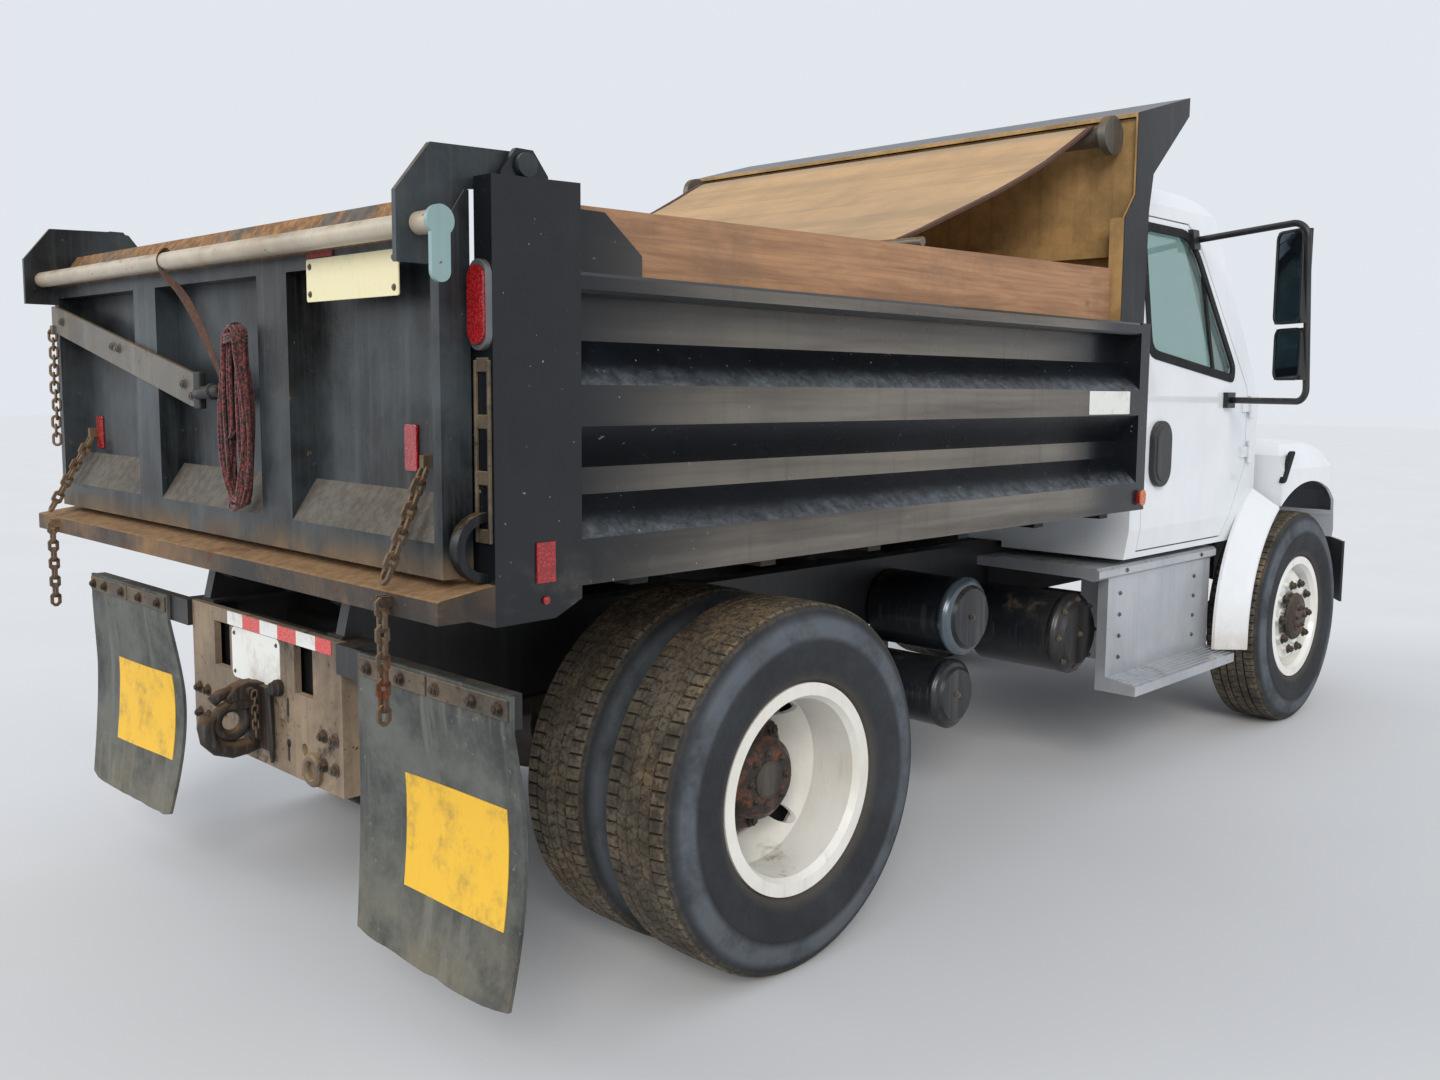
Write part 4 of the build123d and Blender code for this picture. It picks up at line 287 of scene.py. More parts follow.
MATS = {
    "bed": weathered("bed_black", "0b0d11", "161a1f", top=0.4, streak=0.22, grime=0.1, speck=0.15,
                     rough=(0.3, 0.8), bump=0.2, streaks="4c5052", spec=0.3),
    "floor": weathered("bed_floor_black", "0f1114", "1a1d21", dirt="a5875c", top=1.3, streak=0.2, grime=0.2,
                       speck=0.2, patch=0.1, rough=(0.5, 0.9), bump=0.4, streaks="4c5052", spec=0.3,
                       inside=((1, 1.16, -1), (2, 1.203, 1))),
    "bulkhead": weathered("bulkhead_black", "0f1216", "1a1e24", top=-0.05, streak=0.22, grime=0.08, speck=0.1,
                          rough=(0.3, 0.8), bump=0.2, inside=((1, 1.189, -1), (0, 0.05, -1)), streaks="4c5052",
                          spec=0.3),
    "gate": weathered("gate_black", "090b0d", "3a4145", dirt="6f675c", rust="6b4a33", top=0.9, streak=0.26,
                      grime=0.12, speck=0.3, low=(1.215, 1.30), foot="6e5b44", rough=(0.32, 0.82), bump=0.28,
                      streaks="565b5b", spec=0.3, inside=((0, -2.8475, 1), (1, 1.125, -1)),
                      crown=(1.935, "9a7146", "6d4f34")),
    "apron": weathered("apron_dirt", "1d1814", "4c3b2a", dirt="94724c", rust="7d4a26", top=1.2, streak=0.35,
                       grime=0.9, speck=0.6, patch=0.6, rough=(0.6, 0.95), bump=0.9, streaks="211b16"),
    "inside": weathered("bed_sand", "8b7350", "a58a60", dirt="b6966a", rust="5f4022", top=1.0, streak=0.35,
                        grime=0.6, speck=0.3, patch=0.3, rough=(0.6, 0.95), bump=0.4, streaks="5c4c38"),
    "frame": weathered("frame_black", "101113", "1c1d1f", dirt="4d463c", top=0.6, streak=0.2, grime=0.25, speck=0.2,
                       rough=(0.4, 0.85), bump=0.35, streaks="4b4a48"),
    "white": weathered("cab_white", "e0e3e7", "d8dce0", dirt="a99f8e", top=-0.3, streak=0.1, grime=0.06, speck=0.0,
                       low=(0.3, 0.75), rough=(0.16, 0.5), coat=0.5, bump=0.03, streaks="c4c2bc"),
    "rim": weathered("rim_white", "e4e3dd", "d6d3c9", dirt="8c775a", rust="7d4520", top=0.12, streak=0.2,
                     grime=0.16, speck=0.1, rough=(0.3, 0.75), coat=0.25, bump=0.12,
                     hub=(REAR_X, WHEEL_Z, 0.175, 0.21), streaks="a08a68"),
    "rim_front": weathered("rim_front_white", "e6e6e2", "d9d8d2", dirt="9a8a70", rust="7d4520", top=0.08,
                           streak=0.15, grime=0.12, speck=0.1, rough=(0.28, 0.7), coat=0.25, bump=0.1,
                           hub=(FRONT_X, WHEEL_Z, 0.11, 0.135), streaks="a8987c"),
    "steel": weathered("worn_steel", "4c4a47", "6a655c", dirt="7b6446", rust="70401f", top=0.9, streak=0.3,
                       grime=0.4, speck=0.5, patch=0.35, rough=(0.42, 0.9), metal=0.35, bump=0.5),
    "hitch": weathered("hitch_dirt", "5a4d40", "8a7862", dirt="a58f74", rust="2c2119", top=1.0, streak=0.6,
                       grime=0.75, speck=0.6, patch=0.7, rough=(0.6, 0.95), bump=0.6, streaks="3a3027"),
    "hook": weathered("hook_rust", "1b1714", "3a2e25", dirt="6a523a", rust="4a2c1a", top=0.9, streak=0.3, grime=0.4,
                      speck=0.6, patch=0.45, rough=(0.6, 0.95), metal=0.2, bump=0.8),
    "chain": weathered("chain_rust", "55483b", "6f5a44", dirt="8b6f50", rust="7a4120", top=0.8, streak=0.2,
                       grime=0.5, speck=0.7, patch=0.8, rough=(0.5, 0.9), metal=0.45, bump=0.7),
    "tread": weathered("tread_silver", "aeb2b8", "c2c5ca", dirt="8b8474", top=0.3, streak=0.2, grime=0.14, speck=0.1,
                       rough=(0.3, 0.65), metal=0.6, bump=0.12, streaks="87837a"),
    "axle": weathered("axle_iron", "1d1b1a", "32302c", dirt="655646", top=0.8, streak=0.2, grime=0.5, speck=0.4,
                      patch=0.3, rough=(0.6, 0.92), metal=0.2, bump=0.7),
    "pipe": weathered("pipe_cream", "9d9382", "b8ad99", dirt="8a6c4b", rust="6d3f1f", top=0.35, streak=0.25,
                      grime=0.5, speck=0.5, patch=0.2, rough=(0.35, 0.8), bump=0.3, streaks="6f6252",
                      tip=(-1.205, "7f9a9a")),
    "lever": weathered("lever_green", "8da7a5", "a5bab6", dirt="8f8a78", top=0.2, streak=0.25, grime=0.15, speck=0.4,
                       rough=(0.35, 0.75), bump=0.25, streaks="7c7a6a"),
    "chrome": weathered("grille_chrome", "b9bcc0", "a9acb0", dirt="8a8172", top=0.3, streak=0.15, grime=0.12,
                        speck=0.1, rough=(0.12, 0.6), metal=0.9, bump=0.05, streaks="8f8b84"),
    "bumper": weathered("bumper_chrome", "9a9ea3", "86898d", dirt="7b7263", top=0.3, streak=0.3, grime=0.3,
                        speck=0.25, low=(0.5, 0.62), rough=(0.16, 0.65), metal=0.85, bump=0.12, streaks="6f6b64",
                        back="1a1b1d"),
    "tank": weathered("tank_black", "0f1216", "1b2026", dirt="6a5f52", top=0.25, streak=0.2, grime=0.16, speck=0.2,
                      rough=(0.28, 0.75), coat=0.1, bump=0.25, spec=0.35),
    # Lighter blue-grey end cap: a painted sheen on the upper air tank's near end; the tank paint itself is near black.
    "tank_end": weathered("tank_end_sheen_grey", "48525c", "5d6872", dirt="6f675a", top=0.1, streak=0.3, grime=0.25,
                          speck=0.3, rough=(0.22, 0.7), metal=0.3, coat=0.2, bump=0.2, streaks="2a2e33"),
    "engine": weathered("engine_iron", "25282a", "3a3e40", dirt="3f3a32", top=0.35, streak=0.25, grime=0.5, speck=0.3,
                        patch=0.12, rough=(0.4, 0.85), metal=0.2, bump=0.5, streaks="14120f"),
    "cast": weathered("cast_alloy", "6c7073", "83878a", dirt="57503f", top=0.2, streak=0.2, grime=0.35, speck=0.15,
                      rough=(0.35, 0.75), metal=0.7, bump=0.4, streaks="3a362e"),
    "plastic": weathered("black_plastic", "16171a", "232528", dirt="6b655a", top=0.35, streak=0.1, grime=0.1,
                         speck=0.0, rough=(0.4, 0.75), bump=0.3),
}


def side_mat():
    """Glossy black pressed panels: a warm painted sheen, the ground's reflection, on the upright bands, fading towards
    both ends, dust along the foot of each slope.
    """
    m = Mat("side_black")
    nz = m.math("ABSOLUTE", m.axis(2, m.normal))
    x, z = m.axis(0), m.axis(2)
    fine = m.noise(45, 6, 0.7)
    colour = m.mix(m.ramp(m.noise(2.3, 6, 0.62), 0.35, 0.7), lin("0a0d11"), lin("14181d"))
    # Painted sheen: a warm reflection of the ground painted on the upright faces, strongest mid-length and fading dark
    # towards both ends.
    sheen_span = m.times(m.ramp(x, -2.62, -2.05), m.ramp(x, -0.10, -0.42))
    band = m.ramp(m.noise(1, 6, 0.6, m.scaled((0.55, 0.55, 11))), 0.3, 0.7)
    painted_sheen = m.mix(band, lin("443f39"), lin("777066"))
    cloud = m.ramp(m.noise(1.3, 4, 0.55), 0.2, 0.6, 0.5, 0.95)
    colour = m.mix(m.times(m.ramp(nz, 0.45, 0.2), sheen_span, cloud), colour, painted_sheen)
    runs = m.ramp(m.noise(1, 7, 0.6, m.scaled((24, 24, 1.1))), 0.52, 0.75)
    colour = m.mix(m.times(runs, m.ramp(nz, 0.6, 0.1), 0.22), colour, lin("202327"))
    ragged = m.math("ADD", z, m.math("MULTIPLY", m.noise(9, 8, 0.7), 0.03))
    dust = None
    for foot in (1.292, 1.640):
        strip = m.times(m.ramp(ragged, foot + 0.070, foot + 0.014), m.ramp(z, foot - 0.002, foot + 0.002))
        dust = strip if dust is None else m.math("MAXIMUM", dust, strip)
    specks = m.ramp(m.noise(26, 8, 0.75), 0.34, 0.72, 0.15, 1.0)
    dust = m.times(dust, m.ramp(nz, 0.3, 0.5), m.ramp(m.noise(1.2, 4, 0.6), 0.3, 0.6, 0.35, 1.0))
    colour = m.mix(m.times(dust, specks, 0.75), colour, lin("757c84"))
    lower = m.times(m.ramp(m.noise(6, 8, 0.72), 0.5, 0.75), m.ramp(z, 1.30, 1.19))
    colour = m.mix(m.times(lower, 0.4), colour, lin("6c6254"))
    chips = m.ramp(m.noise(60, 3, 0.55), 0.70, 0.74)
    colour = m.mix(m.times(chips, 0.6), colour, lin("8d8a84"))
    turned_in = m.ramp(m.math("MULTIPLY", m.axis(1), m.axis(1, m.normal)), -0.3, -0.7)
    inner = m.times(turned_in, m.ramp(m.math("ABSOLUTE", m.axis(1)), 1.135, 1.125))
    colour = m.mix(inner, colour, m.sand(m.times(runs, 0.3)))
    shine = m.math("MAXIMUM", inner, m.times(dust, specks))
    m.paint(colour).set(spec=0.4, coat=0.1)
    m.set(rough=m.ramp(m.math("ADD", shine, m.times(fine, 0.25)), 0.05, 1.0, 0.27, 0.85))
    m.bump(fine, 0.12, 0.002).bump(m.noise(1.6, 3, 0.5), 0.10, 0.02)
    return m.mat


def wood_mat():
    m = Mat("board_wood")
    flow = m.noise(1, 8, 0.65, m.scaled((2.2, 30, 24)), 0.8)
    rings = m.wave(3.2, "Z", m.scaled((0.35, 1, 5.5)), 6.0)
    colour = m.mix(m.ramp(flow, 0.3, 0.7), lin("8a6549"), lin("ae8461"))
    colour = m.mix(m.times(m.ramp(rings, 0.55, 0.95), 0.16), colour, lin("6f4a34"))
    knots = m.ramp(m.cells(3.3, m.scaled((1, 1, 1.6), (0.37, 0, 0.2))), 0.1, 0.02)
    colour = m.mix(m.times(knots, 0.8), colour, lin("4a2f20"))
    stain = m.ramp(m.noise(2.4, 9, 0.75), 0.48, 0.72)
    colour = m.mix(m.times(stain, 0.5), colour, lin("6a5645"))
    scuff = m.ramp(m.noise(1, 6, 0.7, m.scaled((7, 7, 60))), 0.62, 0.8)
    colour = m.mix(m.times(scuff, 0.3), colour, lin("bd9a70"))
    m.paint(colour).set(rough=m.ramp(flow, 0.2, 0.8, 0.6, 0.85))
    m.bump(flow, 0.35, 0.002).bump(knots, 0.2, 0.002)
    return m.mat


def tarp_mat():
    m = Mat("tarp_mesh")
    weave = m.math("MULTIPLY", m.wave(75, "X"), m.wave(75, "Y"))
    dusty = m.ramp(m.noise(2.2, 9, 0.72), 0.3, 0.66)
    folds = m.ramp(m.noise(1, 5, 0.6, m.scaled((9, 0.35, 9))), 0.42, 0.62)
    colour = m.mix(dusty, lin("a1825a"), lin("bd986a"))
    colour = m.mix(m.times(folds, 0.45), colour, lin("86704f"))
    creases = m.ramp(m.noise(1, 6, 0.7, m.scaled((34, 0.5, 30), (0, 2, 0))), 0.6, 0.7)
    colour = m.mix(m.times(creases, 0.5), colour, lin("6d5c44"))
    colour = m.mix(m.times(m.ramp(weave, 0.1, 0.5), 0.35), colour, lin("6b5740"))
    m.paint(colour).set(rough=0.9, sheen=0.1).bump(weave, 0.3, 0.0015).bump(folds, 0.3, 0.006)
    return m.mat


def tyre_mat(name, x):
    m = Mat(name)
    r = m.radius(x, WHEEL_Z)
    tread = m.ramp(r, 0.5, 0.517)
    mud = m.ramp(m.noise(7, 8, 0.72), 0.3, 0.62)
    fine = m.noise(60, 6, 0.7)
    side = m.mix(m.ramp(m.noise(3.5, 8, 0.7), 0.35, 0.7), lin("26282b"), lin("33363a"))
    scuffed = m.times(m.ramp(r, 0.415, 0.44), m.ramp(r, 0.5, 0.47), m.ramp(m.noise(5, 7, 0.7), 0.25, 0.6))
    side = m.mix(m.times(scuffed, 0.75), side, lin("5d636a"))
    side = m.mix(m.times(m.ramp(r, 0.34, 0.305), 0.4), side, lin("5c5246"))
    sunny = m.ramp(m.noise(2.2, 6, 0.7), 0.5, 0.62)
    road = m.mix(m.times(mud, 0.8), lin("35322d"), m.mix(sunny, lin("706759"), lin("8b765a")))
    road = m.mix(m.ramp(fine, 0.45, 0.62), road, lin("413a31"))
    grooves = m.times(m.ramp(r, 0.519, 0.512), tread)
    road = m.mix(m.times(grooves, 0.85), road, lin("211d18"))
    m.paint(m.mix(tread, side, road)).set(rough=m.ramp(fine, 0.2, 0.8, 0.72, 0.95), spec=0.3)
    m.bump(fine, 0.35, 0.002).bump(m.wave(60, "X"), 0.04, 0.001)
    return m.mat


def glass_mat(name, tint, clear=0.85):
    m = Mat(name)
    smear = m.ramp(m.noise(1, 6, 0.7, m.scaled((9, 9, 3))), 0.5, 0.8)
    m.paint(m.mix(m.times(smear, 0.25), lin(tint), lin("b5b2a8")))
    m.set(clear=clear, ior=1.45, rough=m.ramp(smear, 0.0, 1.0, 0.02, 0.18))
    return m.mat


def lens_mat(name, deep, pale, clear=0.2):
    m = Mat(name)
    cells = m.cells(160)
    m.paint(m.mix(m.ramp(cells, 0.1, 0.6), lin(pale), lin(deep)))
    m.set(rough=m.ramp(m.noise(30, 5, 0.6), 0.4, 0.7, 0.12, 0.4), coat=0.6, clear=clear)
    m.bump(cells, 0.4, 0.002)
    return m.mat


def rubber_mat(name, base="2f3232", haze="6c6e69", dirt="77705f"):
    m = Mat(name)
    runs = m.ramp(m.noise(1, 7, 0.62, m.scaled((16, 16, 0.9))), 0.45, 0.7)
    fine = m.noise(45, 6, 0.7)
    low = m.times(m.ramp(m.axis(2), 0.6, 0.26), m.ramp(m.noise(5, 8, 0.7), 0.35, 0.65))
    cloud = m.ramp(m.noise(3.5, 8, 0.7), 0.35, 0.65)
    colour = m.mix(m.math("MAXIMUM", m.times(runs, 0.6), m.times(cloud, 0.5)), lin(base), lin(haze))
    colour = m.mix(m.times(low, 0.6), colour, lin(dirt))
    colour = m.mix(m.times(m.ramp(fine, 0.6, 0.72), 0.5), colour, lin("8a8576"))
    m.paint(colour).set(rough=m.ramp(fine, 0.3, 0.7, 0.7, 0.92), spec=0.3)
    m.bump(fine, 0.3, 0.002).bump(runs, 0.15, 0.003)
    return m.mat


def flat_mat(name, base, worn, dirt="6a5c48", rough=0.55, amount=0.4, metal=0.0):
    """A painted or printed plate with scratches and dirt."""
    m = Mat(name)
    scratch = m.ramp(m.noise(1, 6, 0.7, m.scaled((14, 60, 9))), 0.55, 0.75)
    soil = m.ramp(m.noise(9, 9, 0.75), 0.48, 0.72)
    fine = m.noise(90, 5, 0.7)
    colour = m.mix(m.times(scratch, 0.5), lin(base), lin(worn))
    colour = m.mix(m.times(soil, amount), colour, lin(dirt))
    m.paint(colour).set(rough=m.ramp(fine, 0.3, 0.7, rough - 0.15, rough + 0.2), metal=metal)
    m.bump(fine, 0.15, 0.001).bump(scratch, 0.1, 0.001)
    return m.mat


def cloth_mat():
    m = Mat("seat_weave")
    weave = m.math("MULTIPLY", m.wave(180, "Y"), m.wave(180, "DIAGONAL"))
    worn = m.ramp(m.noise(5, 7, 0.7), 0.4, 0.7)
    colour = m.mix(worn, lin("2d2e31"), lin("47474a"))
    colour = m.mix(m.times(weave, 0.4), colour, lin("1b1b1e"))
    m.paint(colour).set(rough=0.92, sheen=0.3).bump(weave, 0.35, 0.001)
    return m.mat


def mirror_mat():
    m = Mat("mirror_silver")
    smear = m.ramp(m.noise(7, 6, 0.7), 0.5, 0.75)
    m.paint(m.mix(smear, lin("46525c"), lin("5d676d")))
    return m.set(metal=0.9, rough=m.ramp(smear, 0.0, 1.0, 0.04, 0.16)).mat


def rope_mat():
    m = Mat("rope_braid")
    fleck = m.noise(150, 3, 0.6)
    band = m.noise(1, 4, 0.7, m.scaled((160, 160, 90)))
    colour = m.mix(m.ramp(fleck, 0.49, 0.54), lin("0e0b0c"), lin("752a29"))
    colour = m.mix(m.ramp(band, 0.64, 0.70), colour, lin("a56f60"))
    soil = m.ramp(m.noise(7, 8, 0.7), 0.4, 0.7)
    colour = m.mix(m.times(soil, 0.3), colour, lin("4a3a30"))
    m.paint(colour).set(rough=0.88, sheen=0.2).bump(fleck, 0.6, 0.001)
    return m.mat


def tape_mat():
    """Red and white bands along Y on the towing plate."""
    m = Mat("tape_bands")
    band = m.math("FRACT", m.math("MULTIPLY", m.axis(1), 4.6), 0)
    colour = m.mix(m.ramp(band, 0.5, 0.51), lin("c9241f"), lin("d9d9d6"))
    cells = m.cells(220)
    soil = m.ramp(m.noise(11, 9, 0.75), 0.5, 0.7)
    colour = m.mix(m.times(m.ramp(cells, 0.5, 0.2), 0.15), colour, lin("ffffff"))
    m.paint(m.mix(m.times(soil, 0.5), colour, lin("8a7a62"))).set(rough=0.35, coat=0.3).bump(cells, 0.2, 0.001)
    return m.mat


MATS["side"] = side_mat()
MATS["board"] = wood_mat()
MATS["tarp"] = tarp_mat()
MATS["tyre_rear"] = tyre_mat("tyre_rear", REAR_X)
MATS["tyre_front"] = tyre_mat("tyre_front", FRONT_X)
MATS["glass"] = glass_mat("pane_glass", "bcd6d2")
MATS["mirror"] = mirror_mat()
MATS["red"] = lens_mat("lens_red", "8a0f12", "c8222a")
MATS["amber"] = lens_mat("lens_amber", "c0560c", "f08a1e")
MATS["clear"] = lens_mat("lens_clear", "b9c0c4", "e6ecee", 0.6)
MATS["rubber"] = rubber_mat("flap_rubber", "363938", "757771")
MATS["gasket"] = rubber_mat("gasket_rubber", "131416", "2a2b2d")
MATS["seat"] = cloth_mat()
MATS["rope"] = rope_mat()
MATS["tape"] = tape_mat()
MATS["yellow"] = flat_mat("plate_yellow", "dcae2c", "c2962f", "5e5340", 0.6, 0.6)
MATS["cream"] = flat_mat("placard_cream", "d8cfa8", "c2b78c", "8a7a58", 0.6, 0.4)
MATS["redpaint"] = flat_mat("placard_red", "7c1f1c", "5a1b18", "4a3a2c", 0.6, 0.5)
MATS["plate"] = flat_mat("plate_white", "d8d9d4", "b9b8ae", "8a7a62", 0.45, 0.5)
MATS["strap"] = flat_mat("strap_web", "4d3326", "7a5640", "2b2019", 0.9, 0.6)
MATS["tan"] = weathered("dirty_tan", "2f2b27", "5d5040", dirt="94805f", rust="3a2c20", top=0.9, streak=0.5,
                        grime=0.7, speck=0.6, patch=0.6, rough=(0.65, 0.95), bump=0.7, streaks="2f2a24")
MATS["bolt"] = weathered("bolt_grey", "5c5f63", "75797c", dirt="6f6758", top=0.3, streak=0.2, grime=0.3, speck=0.2,
                         rough=(0.35, 0.8), metal=0.6, bump=0.2)
# Near black: the colour of the clamp, peg, boss, bail and fan, and painted shade in the towing plate's slots.
MATS["dark"] = weathered("slot_shade_and_dark_parts", "0d0d0e", "151515", dirt="3d342a", top=0.5, streak=0.2, grime=0.2, speck=0.0,
                         rough=(0.6, 0.95), bump=0.2)

NODE_MATS = {
    "bed": "latch_hooks", "floor": "bed_floor", "bulkhead": "bulkhead", "side": "bed_sides", "gate": "gate_panel", "apron": "rear_apron",
    "frame": "frame_rails crossmembers bed_hinge hoist_mount hoist_barrel flap_hangers",
    "white": "cab_shell door_left door_right hood_shell quarter_panels",
    "rim": "rims_rear_left rims_rear_right", "rim_front": "rim_front_left rim_front_right",
    "steel": "tarp_roller diagonal_bar", "hitch": "hitch_plate", "hook": "pintle_hook",
    "chain": "gate_chains chain_tails", "tread": "cab_steps fuel_tank",
    "axle": "rear_axle leaf_springs front_axle knuckle_left knuckle_right tie_rod", "pipe": "gate_pipe", "engine": "engine",
    "chrome": "grille hoist_rod", "bumper": "bumper", "tank": "side_tanks", "plastic": "dashboard mirror_left mirror_right",
    "board": "sideboards", "glass": "cab_glass door_glass_left door_glass_right", "red": "bed_lamps",
    "clear": "headlamps", "rubber": "mud_flaps",
}
for key, names in NODE_MATS.items():
    for name in names.split():
        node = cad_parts[name]
        node.data.materials.clear()
        node.data.materials.append(MATS[key])


# Mesh helpers
def piece(name, bm, mat, body, smooth=False, covers=(), bevel=0.0):
    mesh = bpy.data.meshes.new(name)
    bmesh.ops.recalc_face_normals(bm, faces=bm.faces)
    bm.to_mesh(mesh)
    bm.free()
    obj = bpy.data.objects.new(name, mesh)
    bpy.context.scene.collection.objects.link(obj)
    mesh.materials.append(MATS[mat])
    if bevel:
        mod = obj.modifiers.new("edge", "BEVEL")
        mod.width = bevel
        mod.segments = 2
        mod.limit_method = "ANGLE"
    if smooth:
        mesh.shade_smooth()
    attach(obj, body)
    if covers:
        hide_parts(*covers)
    return obj


def prism(bm, outline, lift):
    """A closed prism from 3-D outline points and an offset vector."""
    lift = Vector(lift)
    low = [bm.verts.new(p) for p in outline]
    high = [bm.verts.new(Vector(p) + lift) for p in outline]
    bm.faces.new(low[::-1])
    bm.faces.new(high)
    n = len(low)
    for i in range(n):
        bm.faces.new((low[i], low[(i + 1) % n], high[(i + 1) % n], high[i]))


def frame_ring(bm, outer, inner, lift):
    """A closed frame between two outlines of the same count, raised by an offset vector."""
    lift = Vector(lift)
    rows = [[bm.verts.new(Vector(p) + k) for p in line] for line, k in
            ((outer, Vector()), (outer, lift), (inner, lift), (inner, Vector()))]
    n = len(outer)
    for a in range(4):
        for i in range(n):
            j = (i + 1) % n
            bm.faces.new((rows[a][i], rows[a][j], rows[(a + 1) % 4][j], rows[(a + 1) % 4][i]))


def rounded(w, h, r, steps=4):
    """The outline of a rounded rectangle about the origin, as pairs."""
    points = []
    for cx, cy, start in ((w / 2 - r, h / 2 - r, 0), (-w / 2 + r, h / 2 - r, 90), (-w / 2 + r, -h / 2 + r, 180),
                          (w / 2 - r, -h / 2 + r, 270)):
        for k in range(steps + 1):
            a = radians(start + 90 * k / steps)
            points.append((cx + r * cos(a), cy + r * sin(a)))
    return points


def turned(bm, profile, at, axis=(0, 1, 0), steps=48, close=True):
    """A turned solid: pairs of (offset along the axis, radius)."""
    axis = Vector(axis).normalized()
    side = axis.orthogonal().normalized()
    up = axis.cross(side)
    rings = []
    for offset, radius in profile:
        ring = []
        for k in range(steps):
            a = 2 * pi * k / steps
            ring.append(bm.verts.new(Vector(at) + axis * offset + (side * cos(a) + up * sin(a)) * radius))
        rings.append(ring)
    pairs = list(zip(rings, rings[1:]))
    if close:
        pairs.append((rings[-1], rings[0]))
    for a, b in pairs:
        for k in range(steps):
            bm.faces.new((a[k], a[(k + 1) % steps], b[(k + 1) % steps], b[k]))
    return rings


def nut(bm, at, axis, radius, height, washer=1.35, stud=0.55):
    """A hexagon nut on a washer with the stud's end showing."""
    axis = Vector(axis).normalized()
    side = axis.orthogonal().normalized()
    up = axis.cross(side)
    for r, low, high, steps in ((radius * washer, 0, height * 0.2, 12), (radius, height * 0.2, height, 6),
                                (radius * stud, height, height * 1.35, 8)):
        rings = []
        for level, shrink in ((low, 1.0), (high * 0.9 + low * 0.1, 1.0), (high, 0.88)):
            rings.append([bm.verts.new(Vector(at) + axis * level + (side * cos(2 * pi * k / steps)
                         + up * sin(2 * pi * k / steps)) * r * shrink) for k in range(steps)])
        for a, b in zip(rings, rings[1:]):
            for k in range(steps):
                bm.faces.new((a[k], a[(k + 1) % steps], b[(k + 1) % steps], b[k]))
        bm.faces.new(rings[-1])
        bm.faces.new(rings[0][::-1])


def nuts(name, body, spots, mat="steel", radius=0.012, height=0.012):
    bm = bmesh.new()
    for at, axis in spots:
        nut(bm, at, axis, radius, height)
    return piece(name, bm, mat, body)


def tube(bm, path, radius, steps=10, caps=True):
    """A round tube along points, with its frame carried from point to point."""
    path = [Vector(p) for p in path]
    rings = []
    up = None
    for i, p in enumerate(path):
        ahead = (path[min(i + 1, len(path) - 1)] - path[max(i - 1, 0)]).normalized()
        up = ahead.orthogonal().normalized() if up is None else (up - ahead * up.dot(ahead)).normalized()
        side = ahead.cross(up)
        rings.append([bm.verts.new(p + (up * cos(2 * pi * k / steps) + side * sin(2 * pi * k / steps)) * radius)
                      for k in range(steps)])
    for a, b in zip(rings, rings[1:]):
        for k in range(steps):
            bm.faces.new((a[k], a[(k + 1) % steps], b[(k + 1) % steps], b[k]))
    if caps:
        bm.faces.new(rings[0][::-1])
        bm.faces.new(rings[-1])


# Rope hank: one long spline of loose turns, on a hook below the tailgate's pipe
HANK_Y, HANK_TOP, HANK_LOW = -0.25, 1.795, 1.300


def rope_points():
    points = [(-2.929, HANK_Y + 0.012, 1.786), (-2.938, HANK_Y + 0.02, 1.792)]
    turns = 13
    for t in range(turns):
        layer = -2.963 + 0.0075 * (t % 5) + rng.uniform(-0.001, 0.001)
        wide = 0.040 + 0.0023 * t + rng.uniform(-0.006, 0.004)
        top = HANK_TOP - 0.012 - 0.0016 * (t % 4) - rng.uniform(0, 0.004)
        low = HANK_LOW + 0.004 + 0.012 * ((t * 5) % 6) / 2 + rng.uniform(0, 0.012)
        shift = rng.uniform(-0.010, 0.008)
        neck = 0.030 + rng.uniform(0, 0.004)
        foot = 0.030 + rng.uniform(0, 0.008)
        y0 = HANK_Y + shift * 0.4
        loop = (
            (neck * 0.72, top - 0.008), (neck, top - 0.034), (neck + 0.007, top - 0.085),
            (wide * 1.02, top - 0.165), (wide * 1.06, (top + low) / 2 + 0.01), (wide * 0.98, low + 0.13),
            (foot + 0.012, low + 0.065), (foot * 0.95, low + 0.026), (foot * 0.55, low + 0.004),
            (-foot * 0.55, low + 0.004), (-foot * 0.95, low + 0.026), (-foot - 0.012, low + 0.065),
            (-wide * 0.98, low + 0.13), (-wide * 1.06, (top + low) / 2 - 0.02), (-wide * 1.02, top - 0.165),
            (-neck - 0.007, top - 0.085), (-neck, top - 0.034), (-neck * 0.72, top - 0.008), (0, top + 0.003),
        )
        for k, (dy, z) in enumerate(loop):
            sway = 0.0035 * sin(k * 1.3 + t)
            drift = 0.0045 * sin(k * 0.9 + t * 2.3)
            points.append((layer + sway, y0 + shift * 0.5 + dy + drift, z))
    points += [(-2.955, HANK_Y + 0.02, 1.72), (-2.957, HANK_Y + 0.012, 1.62), (-2.956, HANK_Y + 0.016, 1.52)]
    return points


